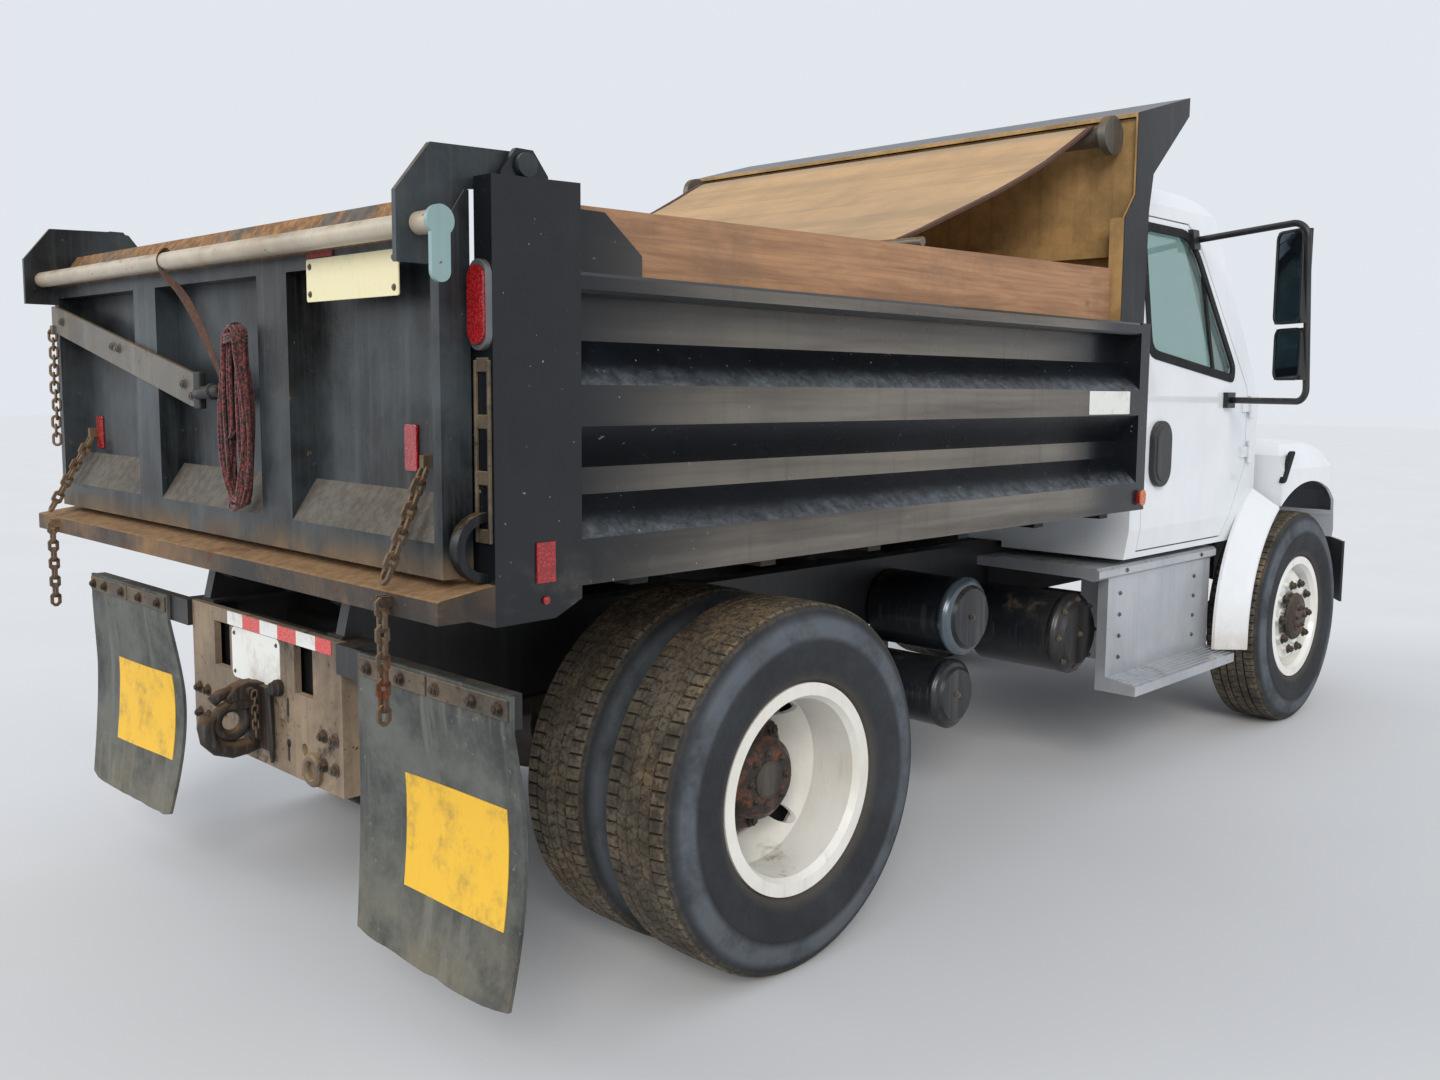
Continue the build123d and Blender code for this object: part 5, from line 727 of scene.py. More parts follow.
def make_rope():
    data = bpy.data.curves.new("rope_line", "CURVE")
    data.dimensions = "3D"
    points = rope_points()
    spline = data.splines.new("NURBS")
    spline.points.add(len(points) - 1)
    for p, co in zip(spline.points, points):
        p.co = (*co, 1)
    spline.order_u = 3
    spline.use_endpoint_u = True
    spline.resolution_u = 4
    data.bevel_depth = 0.0043
    data.bevel_resolution = 2
    data.materials.append(MATS["rope"])
    rope = bpy.data.objects.new("rope_hank_line", data)
    bpy.context.scene.collection.objects.link(rope)
    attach(rope, "tailgate")
    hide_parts("rope_hank")
    bm = bmesh.new()
    end = Vector(points[-1])
    for k in range(3):
        path = []
        for s in range(13):
            a = 2 * pi * s / 12
            path.append(end + Vector((0.005 * cos(a + k), 0.008 * cos(a), -0.004 - 0.006 * k + 0.007 * sin(a + k * 2))))
        tube(bm, path, 0.0042, 8)
    knot = piece("rope_knot", bm, "rope", "tailgate", smooth=True)
    bm = bmesh.new()
    for level in (1.742, 1.750, 1.758):
        path = []
        for s in range(25):
            a = 2 * pi * s / 24
            path.append((-2.9475 + 0.0215 * cos(a), HANK_Y + 0.042 * sin(a), level + 0.003 * sin(2 * a)))
        tube(bm, path, 0.0042, 8, caps=False)
    tie = piece("rope_tie", bm, "rope", "tailgate", smooth=True)
    return rope, points, [knot, tie]


def spline_length(curve):
    """The length of a curve, read from its evaluated spline without its thickness."""
    bare = curve.data.copy()
    bare.bevel_depth = 0
    probe = bpy.data.objects.new("probe", bare)
    bpy.context.scene.collection.objects.link(probe)
    made = probe.evaluated_get(bpy.context.evaluated_depsgraph_get()).to_mesh()
    spots = [v.co.copy() for v in made.vertices]
    total = sum((spots[a] - spots[b]).length for a, b in (e.vertices for e in made.edges))
    bpy.data.objects.remove(probe)
    bpy.data.curves.remove(bare)
    return total


rope, rope_route, rope_extras = make_rope()
rope_length = round(spline_length(rope), 2)


# Tarp: one sagging sheet from the roller to its pull bar
def make_tarp():
    line = [(-0.055, 2.609), (-0.200, 2.528), (-0.353, 2.446), (-0.512, 2.372), (-0.668, 2.305), (-0.815, 2.247),
            (-0.956, 2.193), (-1.090, 2.140), (-1.214, 2.096)]
    across = 40
    bm = bmesh.new()
    grid = []
    for i, (x, z) in enumerate(line):
        row = []
        for j in range(across + 1):
            v = j / across
            y = -1.049 + 2.098 * v
            sag = 0.010 * sin(pi * i / (len(line) - 1)) * sin(pi * v)
            wave = 0.004 * sin(9 * v + 1.7 * i) * sin(pi * i / (len(line) - 1))
            row.append(bm.verts.new((x, y, z - sag + wave)))
        grid.append(row)
    for a, b in zip(grid, grid[1:]):
        for j in range(across):
            bm.faces.new((a[j], a[j + 1], b[j + 1], b[j]))
    tarp = piece("tarp_sheet", bm, "tarp", "bed", smooth=True, covers=("tarp",))
    sub = tarp.modifiers.new("smooth", "SUBSURF")
    sub.levels = sub.render_levels = 1
    thick = tarp.modifiers.new("thick", "SOLIDIFY")
    thick.thickness = 0.003
    for side in (-1, 1):
        bm = bmesh.new()
        for (x0, z0), (x1, z1) in zip(line, line[1:]):
            d = Vector((x1 - x0, 0, z1 - z0))
            prism(bm, [(x0, side * 1.030, z0 + 0.004), (x0, side * 1.053, z0 + 0.004),
                       (x0, side * 1.053, z0 - 0.006), (x0, side * 1.030, z0 - 0.006)], d)
        piece(f"tarp_hem_{'left' if side > 0 else 'right'}", bm, "strap", "bed")


make_tarp()


# Seats: cushion and back for each, on a plain base, in the space of the CAD seats
def pad(bm, corners, thickness_axis, crown, cuts=8):
    """A crowned pad over an eight-corner block: corners low face then high face."""
    low, high = corners[:4], corners[4:]
    grid = {}

    def spot(u, v, w):
        a = low[0].lerp(low[1], u).lerp(low[3].lerp(low[2], u), v)
        b = high[0].lerp(high[1], u).lerp(high[3].lerp(high[2], u), v)
        return a.lerp(b, w)

    up = Vector(thickness_axis)
    for w in (0, 1):
        for i in range(cuts + 1):
            for j in range(cuts + 1):
                u, v = i / cuts, j / cuts
                edge = min(u, 1 - u, v, 1 - v)
                full = 1 - (1 - min(1, edge * 4)) ** 2
                p = spot(u, v, w)
                if w:
                    channel = 0.006 * (abs((v * 4) % 1 - 0.5) < 0.12) * (edge > 0.1)
                    p = p + up * (crown * full - crown - channel)
                grid[i, j, w] = bm.verts.new(p)
    for w in (0, 1):
        for i in range(cuts):
            for j in range(cuts):
                quad = [grid[i, j, w], grid[i + 1, j, w], grid[i + 1, j + 1, w], grid[i, j + 1, w]]
                bm.faces.new(quad if w else quad[::-1])
    rim = ([(i, 0) for i in range(cuts)] + [(cuts, j) for j in range(cuts)]
           + [(i, cuts) for i in range(cuts, 0, -1)] + [(0, j) for j in range(cuts, 0, -1)])
    for k, (i, j) in enumerate(rim):
        i2, j2 = rim[(k + 1) % len(rim)]
        bm.faces.new((grid[i, j, 0], grid[i2, j2, 0], grid[i2, j2, 1], grid[i, j, 1]))


def swollen(obj, axis, cap, voxel=0.009):
    """A pad blown up by a short cloth simulation, its moves capped, held at the face it rests on."""
    scene = bpy.context.scene
    obj.modifiers.clear()
    remesh = obj.modifiers.new("voxels", "REMESH")
    remesh.mode = "VOXEL"
    remesh.voxel_size = voxel
    obj.data = bpy.data.meshes.new_from_object(obj.evaluated_get(bpy.context.evaluated_depsgraph_get()))
    obj.modifiers.clear()
    start = [v.co.copy() for v in obj.data.vertices]
    span = [p[axis] for p in start]
    low = min(span)
    held = obj.vertex_groups.new(name="held")
    held.add([i for i, s in enumerate(span) if s < low + (max(span) - low) * 0.3], 1.0, "REPLACE")
    cloth = obj.modifiers.new("cloth", "CLOTH")
    cloth.settings.quality = 4
    cloth.settings.use_pressure = True
    cloth.settings.uniform_pressure_force = 4
    cloth.settings.effector_weights.gravity = 0
    cloth.settings.vertex_group_mass = "held"
    for number in range(1, 21):
        scene.frame_set(number)
    made = bpy.data.meshes.new_from_object(obj.evaluated_get(bpy.context.evaluated_depsgraph_get()))
    obj.modifiers.clear()
    obj.vertex_groups.clear()
    for v, p in zip(made.vertices, start):
        move = v.co - p
        v.co = p + (move.normalized() * cap if move.length > cap else move)
    obj.data = made
    made.shade_smooth()
    scene.frame_set(1)


def channelled(obj, axis, low, high):
    """Sewn channels across a pad: shallow grooves between its two long edges."""
    for v in obj.data.vertices:
        for share in (0.2, 0.4, 0.6, 0.8):
            off = abs(v.co.y - (low + (high - low) * share))
            if off < 0.02 and v.normal[axis] > 0.5:
                v.co[axis] -= 0.006 * (1 - off / 0.02) ** 2


def make_seats():
    sr = 0.545
    for side, name in ((1, "left"), (-1, "right")):
        y0, y1 = side * 0.43 - 0.245, side * 0.43 + 0.245
        bm = bmesh.new()
        pad(bm, [Vector(p) for p in (
            (sr + 0.06, y0, 1.19), (sr + 0.515, y0, 1.235), (sr + 0.515, y1, 1.235), (sr + 0.06, y1, 1.19),
            (sr + 0.08, y0, 1.315), (sr + 0.508, y0, 1.345), (sr + 0.508, y1, 1.345), (sr + 0.08, y1, 1.315))],
            (0, 0, 1), 0.03)
        cushion = piece(f"seat_cushion_{name}", bm, "seat", "chassis", smooth=True,
                        covers=("seats",) if side > 0 else ())
        swollen(cushion, 2, 0.022)
        channelled(cushion, 2, y0, y1)
        cushion.modifiers.new("soft", "SUBSURF").levels = 1
        bm = bmesh.new()
        pad(bm, [Vector(p) for p in (
            (sr - 0.005, y0, 1.33), (sr - 0.005, y1, 1.33), (sr - 0.052, y1, 2.005), (sr - 0.052, y0, 2.005),
            (sr + 0.122, y0, 1.33), (sr + 0.122, y1, 1.33), (sr + 0.036, y1, 2.005), (sr + 0.036, y0, 2.005))],
            (1, 0, 0), 0.025)
        back = piece(f"seat_back_{name}", bm, "seat", "chassis", smooth=True)
        swollen(back, 0, 0.020)
        channelled(back, 0, y0, y1)
        back.modifiers.new("soft", "SUBSURF").levels = 1
        bm = bmesh.new()
        base = [(sr + 0.01, 0.9905), (sr + 0.46, 0.9905), (sr + 0.50, 1.18), (sr + 0.03, 1.18)]
        prism(bm, [(x, y0 + 0.02, z) for x, z in base], (0, y1 - y0 - 0.04, 0))
        piece(f"seat_base_{name}", bm, "plastic", "chassis", bevel=0.008)


make_seats()


# Tyres with a ribbed and siped tread
def tyre_mesh(bm, x, y, seed):
    lugs = 92
    rows = []
    side = ((-0.105, 0.2866), (-0.105, 0.3004), (-0.119, 0.311), (-0.127, 0.330), (-0.1335, 0.362), (-0.138, 0.40),
            (-0.1385, 0.415), (-0.1368, 0.417), (-0.1378, 0.43), (-0.136, 0.452), (-0.1335, 0.466), (-0.129, 0.483),
            (-0.118, 0.506), (-0.109, 0.5165))
    for off, r in side:
        rows.append((off, r, 0.0))
    ribs = ((-0.1035, -0.066, 1.0), (-0.056, -0.028, 0.5), (-0.019, 0.019, 0.35), (0.028, 0.056, 0.5),
            (0.066, 0.1035, 1.0))
    for n, (a, b, depth) in enumerate(ribs):
        crown_a = 0.5235 - 0.18 * max(0, abs(a) - 0.05) ** 1.5
        crown_b = 0.5235 - 0.18 * max(0, abs(b) - 0.05) ** 1.5
        if n:
            rows.append((a - 0.0015, 0.511, 0.0))
        rows.append((a, min(crown_a, 0.5245), depth))
        rows.append((b, min(crown_b, 0.5245), depth))
        if n < len(ribs) - 1:
            rows.append((b + 0.0015, 0.511, 0.0))
    for off, r in side[::-1]:
        rows.append((-off, r, 0.0))
    steps = lugs * 4
    spots = []
    for off, r, depth in rows:
        ring = []
        for k in range(steps):
            lug, part = divmod(k, 4)
            share = lug + (0.0, 0.80, 0.84, 0.96)[part]
            a = 2 * pi * (share + seed + (0.35 if off > 0 else 0) + 0.12 * sin(off * 60)) / lugs
            cut = 0.009 * depth if part in (2, 3) else 0.0
            ring.append(bm.verts.new((x + (r - cut) * cos(a), y + off, WHEEL_Z + (r - cut) * sin(a))))
        spots.append(ring)
    for a, b in zip(spots, spots[1:] + spots[:1]):
        for k in range(steps):
            bm.faces.new((a[k], a[(k + 1) % steps], b[(k + 1) % steps], b[k]))


for side, name in ((1, "left"), (-1, "right")):
    bm = bmesh.new()
    tyre_mesh(bm, REAR_X, side * (0.917 + 0.1685), 0.1)
    tyre_mesh(bm, REAR_X, side * (0.917 - 0.1685), 0.4)
    piece(f"tyres_rear_tread_{name}", bm, "tyre_rear", f"wheels_rear_{name}", covers=(f"tyres_rear_{name}",))
    bm = bmesh.new()
    tyre_mesh(bm, FRONT_X, side * 1.020, 0.2)
    piece(f"tyre_front_tread_{name}", bm, "tyre_front", f"wheel_front_{name}", covers=(f"tyre_front_{name}",))


# Plates, lamps and small fittings
def plate(name, mat, body, centre, u, v, size, thick, corner=0.01, rim=0.0, rivets=0.0, rim_mat=None):
    """A rounded plate about a centre, in the plane of two directions, raised along their cross product."""
    u, v = Vector(u).normalized(), Vector(v).normalized()
    out = u.cross(v).normalized()
    centre = Vector(centre)

    def ring(w, h, r, lift=0.0):
        return [centre + u * a + v * b + out * lift for a, b in rounded(w, h, r)]

    bm = bmesh.new()
    prism(bm, ring(size[0], size[1], corner), out * thick)
    made = piece(name, bm, mat, body, bevel=min(0.0015, thick * 0.3))
    if rim:
        bm = bmesh.new()
        frame_ring(bm, ring(size[0] + rim, size[1] + rim, corner + rim / 2), ring(size[0] - rim, size[1] - rim,
                   max(0.002, corner - rim / 2)), out * (thick + 0.002))
        piece(f"{name}_rim", bm, rim_mat or mat, body)
    if rivets:
        spots = []
        for a in (-1, 1):
            for b in (-1, 1):
                spots.append((centre + u * a * (size[0] / 2 - 0.018) + v * b * (size[1] / 2 - 0.018) + out * thick, out))
        nuts(f"{name}_rivets", body, spots, "steel", rivets, rivets * 0.6)
    return made


# Tailgate: placard, reflectors, strap and bolts
plate("gate_placard", "cream", "tailgate", (GATE_FACE, -0.795, 1.878), (0, -1, 0), (0, 0, 1), (0.41, 0.10), 0.004,
      0.006, rivets=0.006)
plate("gate_placard_band", "redpaint", "tailgate", (GATE_FACE - 0.0005, -0.655, 1.937), (0, -1, 0), (0, 0, 1),
      (0.12, 0.014), 0.004, 0.004)
for n, (y, z) in enumerate(((-0.93, 1.495), (0.97, 1.47))):
    plate(f"gate_reflector_{n}", "red", "tailgate", (GATE_RECESS, y, z), (0, -1, 0), (0, 0, 1), (0.05, 0.105), 0.006,
          0.006)


def make_strap():
    path = [(-2.940, 0.150, 1.992), (-2.964, 0.148, 1.9935), (-2.990, 0.144, 1.966), (-2.966, 0.138, 1.925),
            (-2.942, 0.105, 1.895), (-2.932, 0.040, 1.830), (-2.929, -0.035, 1.750), (-2.927, -0.100, 1.668),
            (-2.926, -0.150, 1.590), (-2.925, -0.185, 1.520), (-2.9255, -0.200, 1.455)]
    bm = bmesh.new()
    rows = []
    for i, p in enumerate(path):
        p = Vector(p)
        ahead = (Vector(path[min(i + 1, len(path) - 1)]) - Vector(path[max(i - 1, 0)])).normalized()
        twist = 0.5 * sin(i * 0.9)
        wide = ahead.cross(Vector((-1, 0, 0))).normalized()
        thick = ahead.cross(wide).normalized()
        half = 0.021 - 0.0012 * i
        w = (wide * cos(twist) + thick * sin(twist)) * half
        t = (thick * cos(twist) - wide * sin(twist)) * 0.0018
        rows.append([bm.verts.new(p + a) for a in (w + t, w - t, -w - t, -w + t)])
    for a, b in zip(rows, rows[1:]):
        for k in range(4):
            bm.faces.new((a[k], a[(k + 1) % 4], b[(k + 1) % 4], b[k]))
    bm.faces.new(rows[0][::-1])
    bm.faces.new(rows[-1])
    strap = piece("tie_strap", bm, "strap", "tailgate", smooth=True)
    strap.modifiers.new("soft", "SUBSURF").levels = 2


make_strap()
bar_bolts = []
for y, z in ((0.62, 1.742), (0.575, 1.735), (0.11, 1.632), (0.055, 1.60), (1.05, 1.828)):
    bar_bolts.append(((-2.9335, y, z), (-1, 0, 0)))
nuts("diagonal_bolts", "tailgate", bar_bolts, "steel", 0.011, 0.010)
bm = bmesh.new()
prism(bm, [(-2.921, -0.005, 1.565), (-2.921, -0.005, 1.665), (-2.921, 0.035, 1.665), (-2.921, 0.035, 1.565)],
      (-0.02, 0, 0))
piece("diagonal_clamp", bm, "dark", "tailgate", bevel=0.004)
bm = bmesh.new()
turned(bm, [(0, 0.001), (0, 0.017), (0.085, 0.017), (0.087, 0.022), (0.10, 0.022), (0.102, 0.017), (0.135, 0.016),
            (0.140, 0.012), (0.140, 0.001)], (-2.943, -0.004, 1.607), (0, -1, 0.06), 20)
piece("diagonal_peg", bm, "dark", "tailgate")

# Corner posts: dirty strip with slots, lamp bezels, small markers
for side, name in ((1, "left"), (-1, "right")):
    y = side * (BODY_HALF - 0.034)
    bm = bmesh.new()
    for a, b in ((0.056, 0.040), (-0.040, -0.056)):
        ya, yb = y + side * a * 0.5, y + side * b * 0.5
        prism(bm, [(POST_REAR, ya, 1.30), (POST_REAR, yb, 1.30), (POST_REAR, yb, 1.69), (POST_REAR, ya, 1.69)],
              (-0.008, 0, 0))
    for z in (1.30, 1.425, 1.545, 1.665):
        prism(bm, [(POST_REAR, y - 0.021, z), (POST_REAR, y + 0.021, z), (POST_REAR, y + 0.021, z + 0.03),
                   (POST_REAR, y - 0.021, z + 0.03)], (-0.006, 0, 0))
    piece(f"post_strip_{name}", bm, "tan", "bed", bevel=0.002)
    bm = bmesh.new()
    outer = [(POST_REAR, side * 1.187 + u, 1.805 + v) for u, v in rounded(0.064, 0.190, 0.031, 8)]
    inner = [(POST_REAR, side * 1.187 + u, 1.805 + v) for u, v in rounded(0.0585, 0.1655, 0.029, 8)]
    frame_ring(bm, outer, inner, (-0.016, 0, 0))
    piece(f"lamp_bezel_{name}", bm, "bolt", "bed", bevel=0.002)
    plate(f"post_marker_{name}", "red", "bed", (-2.705, side * (BODY_HALF + 0.0005), 1.165),
          (-side, 0, 0), (0, 0, 1), (0.018, 0.018), 0.006, 0.008)
    plate(f"side_marker_{name}", "amber", "bed", (0.090, side * (BODY_HALF + 0.012), 1.235),
          (-side, 0, 0), (0, 0, 1), (0.046, 0.060), 0.006, 0.02)

# Towing plate: tape, blank number plate, fasteners
plate("hitch_tape", "tape", "chassis", (-2.7903, -0.10, 0.946), (0, -1, 0), (0, 0, 1), (0.62, 0.040), 0.0015, 0.003)
plate("number_plate", "plate", "chassis", (-2.7905, 0.03, 0.850), (0, -1, 0), (0, 0, 1), (0.30, 0.15), 0.003, 0.02,
      rivets=0.005)
plate("bed_number", "plate", "bed", (-0.165, -BODY_HALF, 1.594), (1, 0, 0), (0, 0, 1), (0.30, 0.084), 0.0015, 0.004)
hitch_bolts = []
for y in (-0.42, -0.36, 0.36, 0.42):
    for z in (0.62, 0.70):
        hitch_bolts.append(((-2.7905, y, z), (-1, 0, 0)))
nuts("hitch_bolts", "chassis", hitch_bolts, "hook", 0.014, 0.014)

# Mud flaps: rubber sheets that bow forward, blank yellow panels and their bolts
def flap_x(side, y, z):
    lean = -2.815 - 0.004 * min(1.0, (0.968 - z) / 0.328) - 0.018 * max(0.0, (0.640 - z) / 0.395)
    share = (abs(y) - 0.590) / 0.650
    below = min(1.0, max(0.0, (0.885 - z) / 0.640))
    bow = sin(pi * below) * (0.008 + 0.034 * (share if side < 0 else 1 - share))
    return lean + bow + 0.004 * sin(9 * y + 5 * z) * min(1.0, below * 3)


def bent_sheet(bm, side, y, z, near, far, worn=0.0, across=14, down=26):
    layers = []
    for shift in (near, far):
        layer = []
        for i in range(across + 1):
            a = y[0] + (y[1] - y[0]) * i / across
            corner = abs(2 * i / across - 1) ** 9
            foot = z[0] + worn * (corner + 0.35 * (1 + sin(31 * a)) * (1 + sin(77 * a)) * 0.25)
            column = []
            for k in range(down + 1):
                b = foot + (z[1] - foot) * k / down
                column.append(bm.verts.new((flap_x(side, a, b) + shift, a, b)))
            layer.append(column)
        layers.append(layer)
    back, front = layers
    for i in range(across):
        for k in range(down):
            for layer in layers:
                bm.faces.new((layer[i][k], layer[i + 1][k], layer[i + 1][k + 1], layer[i][k + 1]))
        for k in (0, down):
            bm.faces.new((back[i][k], back[i + 1][k], front[i + 1][k], front[i][k]))
    for i in (0, across):
        for k in range(down):
            bm.faces.new((back[i][k], back[i][k + 1], front[i][k + 1], front[i][k]))


flaps = bmesh.new()
for side, name in ((1, "left"), (-1, "right")):
    bent_sheet(flaps, side, (side * 0.590, side * 1.240), (0.245, 0.968), 0, 0.010, 0.014)
    bm = bmesh.new()
    middle = side * 0.915 - 0.072
    bent_sheet(bm, side, (middle - 0.20, middle + 0.20), (0.420, 0.700), -0.0022, -0.0002)
    piece(f"flap_panel_{name}", bm, "yellow", "chassis")
    spots = [((-2.8203, side * y, 0.936), (-1, 0, 0)) for y in (0.65, 0.80, 0.95, 1.10, 1.20)]
    nuts(f"flap_bolts_{name}", "chassis", spots, "hook", 0.013, 0.012)
piece("flap_sheets", flaps, "rubber", "chassis", covers=("mud_flaps",))


# Wheel nuts and hub faces
def wheel_nuts(name, body, x, y, side, ring, count, radius, start=0.0):
    spots = []
    for k in range(count):
        a = 2 * pi * (k + start) / count
        spots.append(((x + ring * cos(a), y, WHEEL_Z + ring * sin(a)), (0, side, 0)))
    nuts(name, body, spots, "axle", radius, radius * 1.1)


for side, name in ((1, "left"), (-1, "right")):
    wheel_nuts(f"rear_nuts_{name}", f"wheels_rear_{name}", REAR_X, side * 0.951, side, 0.167, 10, 0.019)
    wheel_nuts(f"rear_hub_bolts_{name}", f"wheels_rear_{name}", REAR_X, side * 1.0775, side, 0.075, 8, 0.010)
    wheel_nuts(f"front_nuts_{name}", f"wheel_front_{name}", FRONT_X, side * 1.124, side, 0.167, 10, 0.018)
    wheel_nuts(f"front_hub_bolts_{name}", f"wheel_front_{name}", FRONT_X, side * 1.1585, side, 0.048, 6, 0.008)
    bm = bmesh.new()
    turned(bm, [(0, 0.055), (0.004, 0.055), (0.008, 0.045), (0.008, 0.001), (0, 0.001)],
           (REAR_X, side * 1.077, WHEEL_Z), (0, side, 0), 40)
    piece(f"rear_hub_cover_{name}", bm, "axle", f"wheels_rear_{name}")
    bm = bmesh.new()
    turned(bm, [(-0.018, 0.112), (-0.012, 0.118), (0.0, 0.112), (0.010, 0.09), (0.012, 0.001), (-0.018, 0.001)],
           (FRONT_X, side * 1.14, WHEEL_Z), (0, side, 0), 48)
    piece(f"front_hub_dark_{name}", bm, "axle", f"wheel_front_{name}", smooth=False)


# Cab: window gaskets, handles, mirrors, latches
def skin_y(z):
    return CAB_HALF - max(0.0, z - BELT_Z) * DOOR_LEAN


def cx(x):
    return REAR_X + x / 1000


WINDOW = ((2345, 1.800), (2370, 2.310), (2770, 2.310), (2860, 2.235), (3140, 1.750), (3120, 1.705))


def grown(points, by):
    """An outline moved out along its corners' bisectors."""
    n = len(points)
    area = sum(points[i][0] * points[(i + 1) % n][1] - points[(i + 1) % n][0] * points[i][1] for i in range(n))
    sign = 1 if area > 0 else -1
    out = []
    for i in range(n):
        p, q, r = Vector(points[i - 1]), Vector(points[i]), Vector(points[(i + 1) % n])
        a, b = (q - p).normalized(), (r - q).normalized()
        na, nb = Vector((a.y, -a.x)) * sign, Vector((b.y, -b.x)) * sign
        bis = (na + nb).normalized()
        out.append(tuple(q + bis * by / max(0.4, bis.dot(na))))
    return out


def softened(points, cut=0.035, steps=3):
    """An outline with its corners cut round."""
    out = []
    n = len(points)
    for i in range(n):
        p, q, r = Vector(points[i - 1]), Vector(points[i]), Vector(points[(i + 1) % n])
        c = min(cut, (q - p).length * 0.4, (r - q).length * 0.4)
        a, b = q + (p - q).normalized() * c, q + (r - q).normalized() * c
        for k in range(steps + 1):
            t = k / steps
            out.append(tuple(a.lerp(q, t).lerp(q.lerp(b, t), t)))
    return out


for side, name in ((1, "left"), (-1, "right")):
    base = [(cx(x), z) for x, z in WINDOW]
    outer = softened(grown(base, 0.026), 0.06)
    inner = softened(grown(base, -0.012), 0.05)
    bm = bmesh.new()
    frame_ring(bm, [(x, side * (skin_y(z) - 0.004), z) for x, z in outer],
               [(x, side * (skin_y(z) - 0.004), z) for x, z in inner], (0, side * 0.010, 0))
    piece(f"window_gasket_{name}", bm, "gasket", f"door_{name}", bevel=0.002)
    bm = bmesh.new()
    sash = [(cx(2985), 2.02), (cx(2945), 2.085), (cx(2975), 1.73), (cx(3000), 1.73)]
    prism(bm, [(cx(2940), side * (skin_y(1.73) - 0.012), 1.715), (cx(2962), side * (skin_y(1.73) - 0.012), 1.715),
               (cx(2932), side * (skin_y(2.13) - 0.012), 2.125), (cx(2910), side * (skin_y(2.16) - 0.012), 2.16)],
          (0, side * 0.010, 0))
    piece(f"window_sash_{name}", bm, "gasket", f"door_{name}")
    bm = bmesh.new()
    for w, h, lift in ((0.165, 0.275, 0.026), (0.125, 0.230, 0.030)):
        prism(bm, [(0.585 + a, side * 1.048, 1.378 + b) for a, b in rounded(w, h, w * 0.48, 6)],
              (0, side * lift, 0))
    piece(f"door_grab_{name}", bm, "plastic", f"door_{name}", bevel=0.006)
    bm = bmesh.new()
    prism(bm, [(1.690 + a * 0.9 + b * 0.55, side * 1.158, 1.285 + b * 0.8) for a, b in rounded(0.055, 0.185, 0.02, 4)],
          (0, side * 0.020, 0))
    piece(f"hood_latch_{name}", bm, "gasket", "hood", bevel=0.004)
    turn = side * radians(35)
    for k, (head_x, low, high) in enumerate(((1.045, 1.925, 2.310), (1.070, 1.690, 1.905))):
        centre = Vector((head_x, side * 1.394, (low + high) / 2))
        along = Vector((-sin(turn), cos(turn), 0))
        out = Vector((-cos(turn), -sin(turn), 0))
        face = centre + out * 0.0195
        bm = bmesh.new()
        w, h = 0.168, high - low - 0.014
        prism(bm, [face + along * a + Vector((0, 0, b)) for a, b in rounded(w, h, 0.03, 5)], out * 0.002)
        piece(f"mirror_glass_{k}_{name}", bm, "mirror", f"door_{name}")
        bm = bmesh.new()
        frame_ring(bm, [face + along * a + Vector((0, 0, b)) for a, b in rounded(w + 0.020, h + 0.018, 0.036, 5)],
                   [face + along * a + Vector((0, 0, b)) for a, b in rounded(w - 0.004, h - 0.004, 0.028, 5)],
                   out * 0.007)
        piece(f"mirror_edge_{k}_{name}", bm, "plastic", f"door_{name}", bevel=0.002)

# Front of the cab: windscreen gasket, wipers, cowl strip and the rear pane's gasket
SCREEN_FOOT = Vector((1.615, 0, 1.600))
SCREEN_UP = Vector((-0.38, 0, 0.88)).normalized()
SCREEN_OUT = Vector((SCREEN_UP.z, 0, -SCREEN_UP.x))


def on_screen(y, v, lift=0.0):
    """A point on the windscreen's outer plane: y across, v up the slope, lift off it."""
    return SCREEN_FOOT + Vector((0, y, 0)) + SCREEN_UP * v + SCREEN_OUT * lift


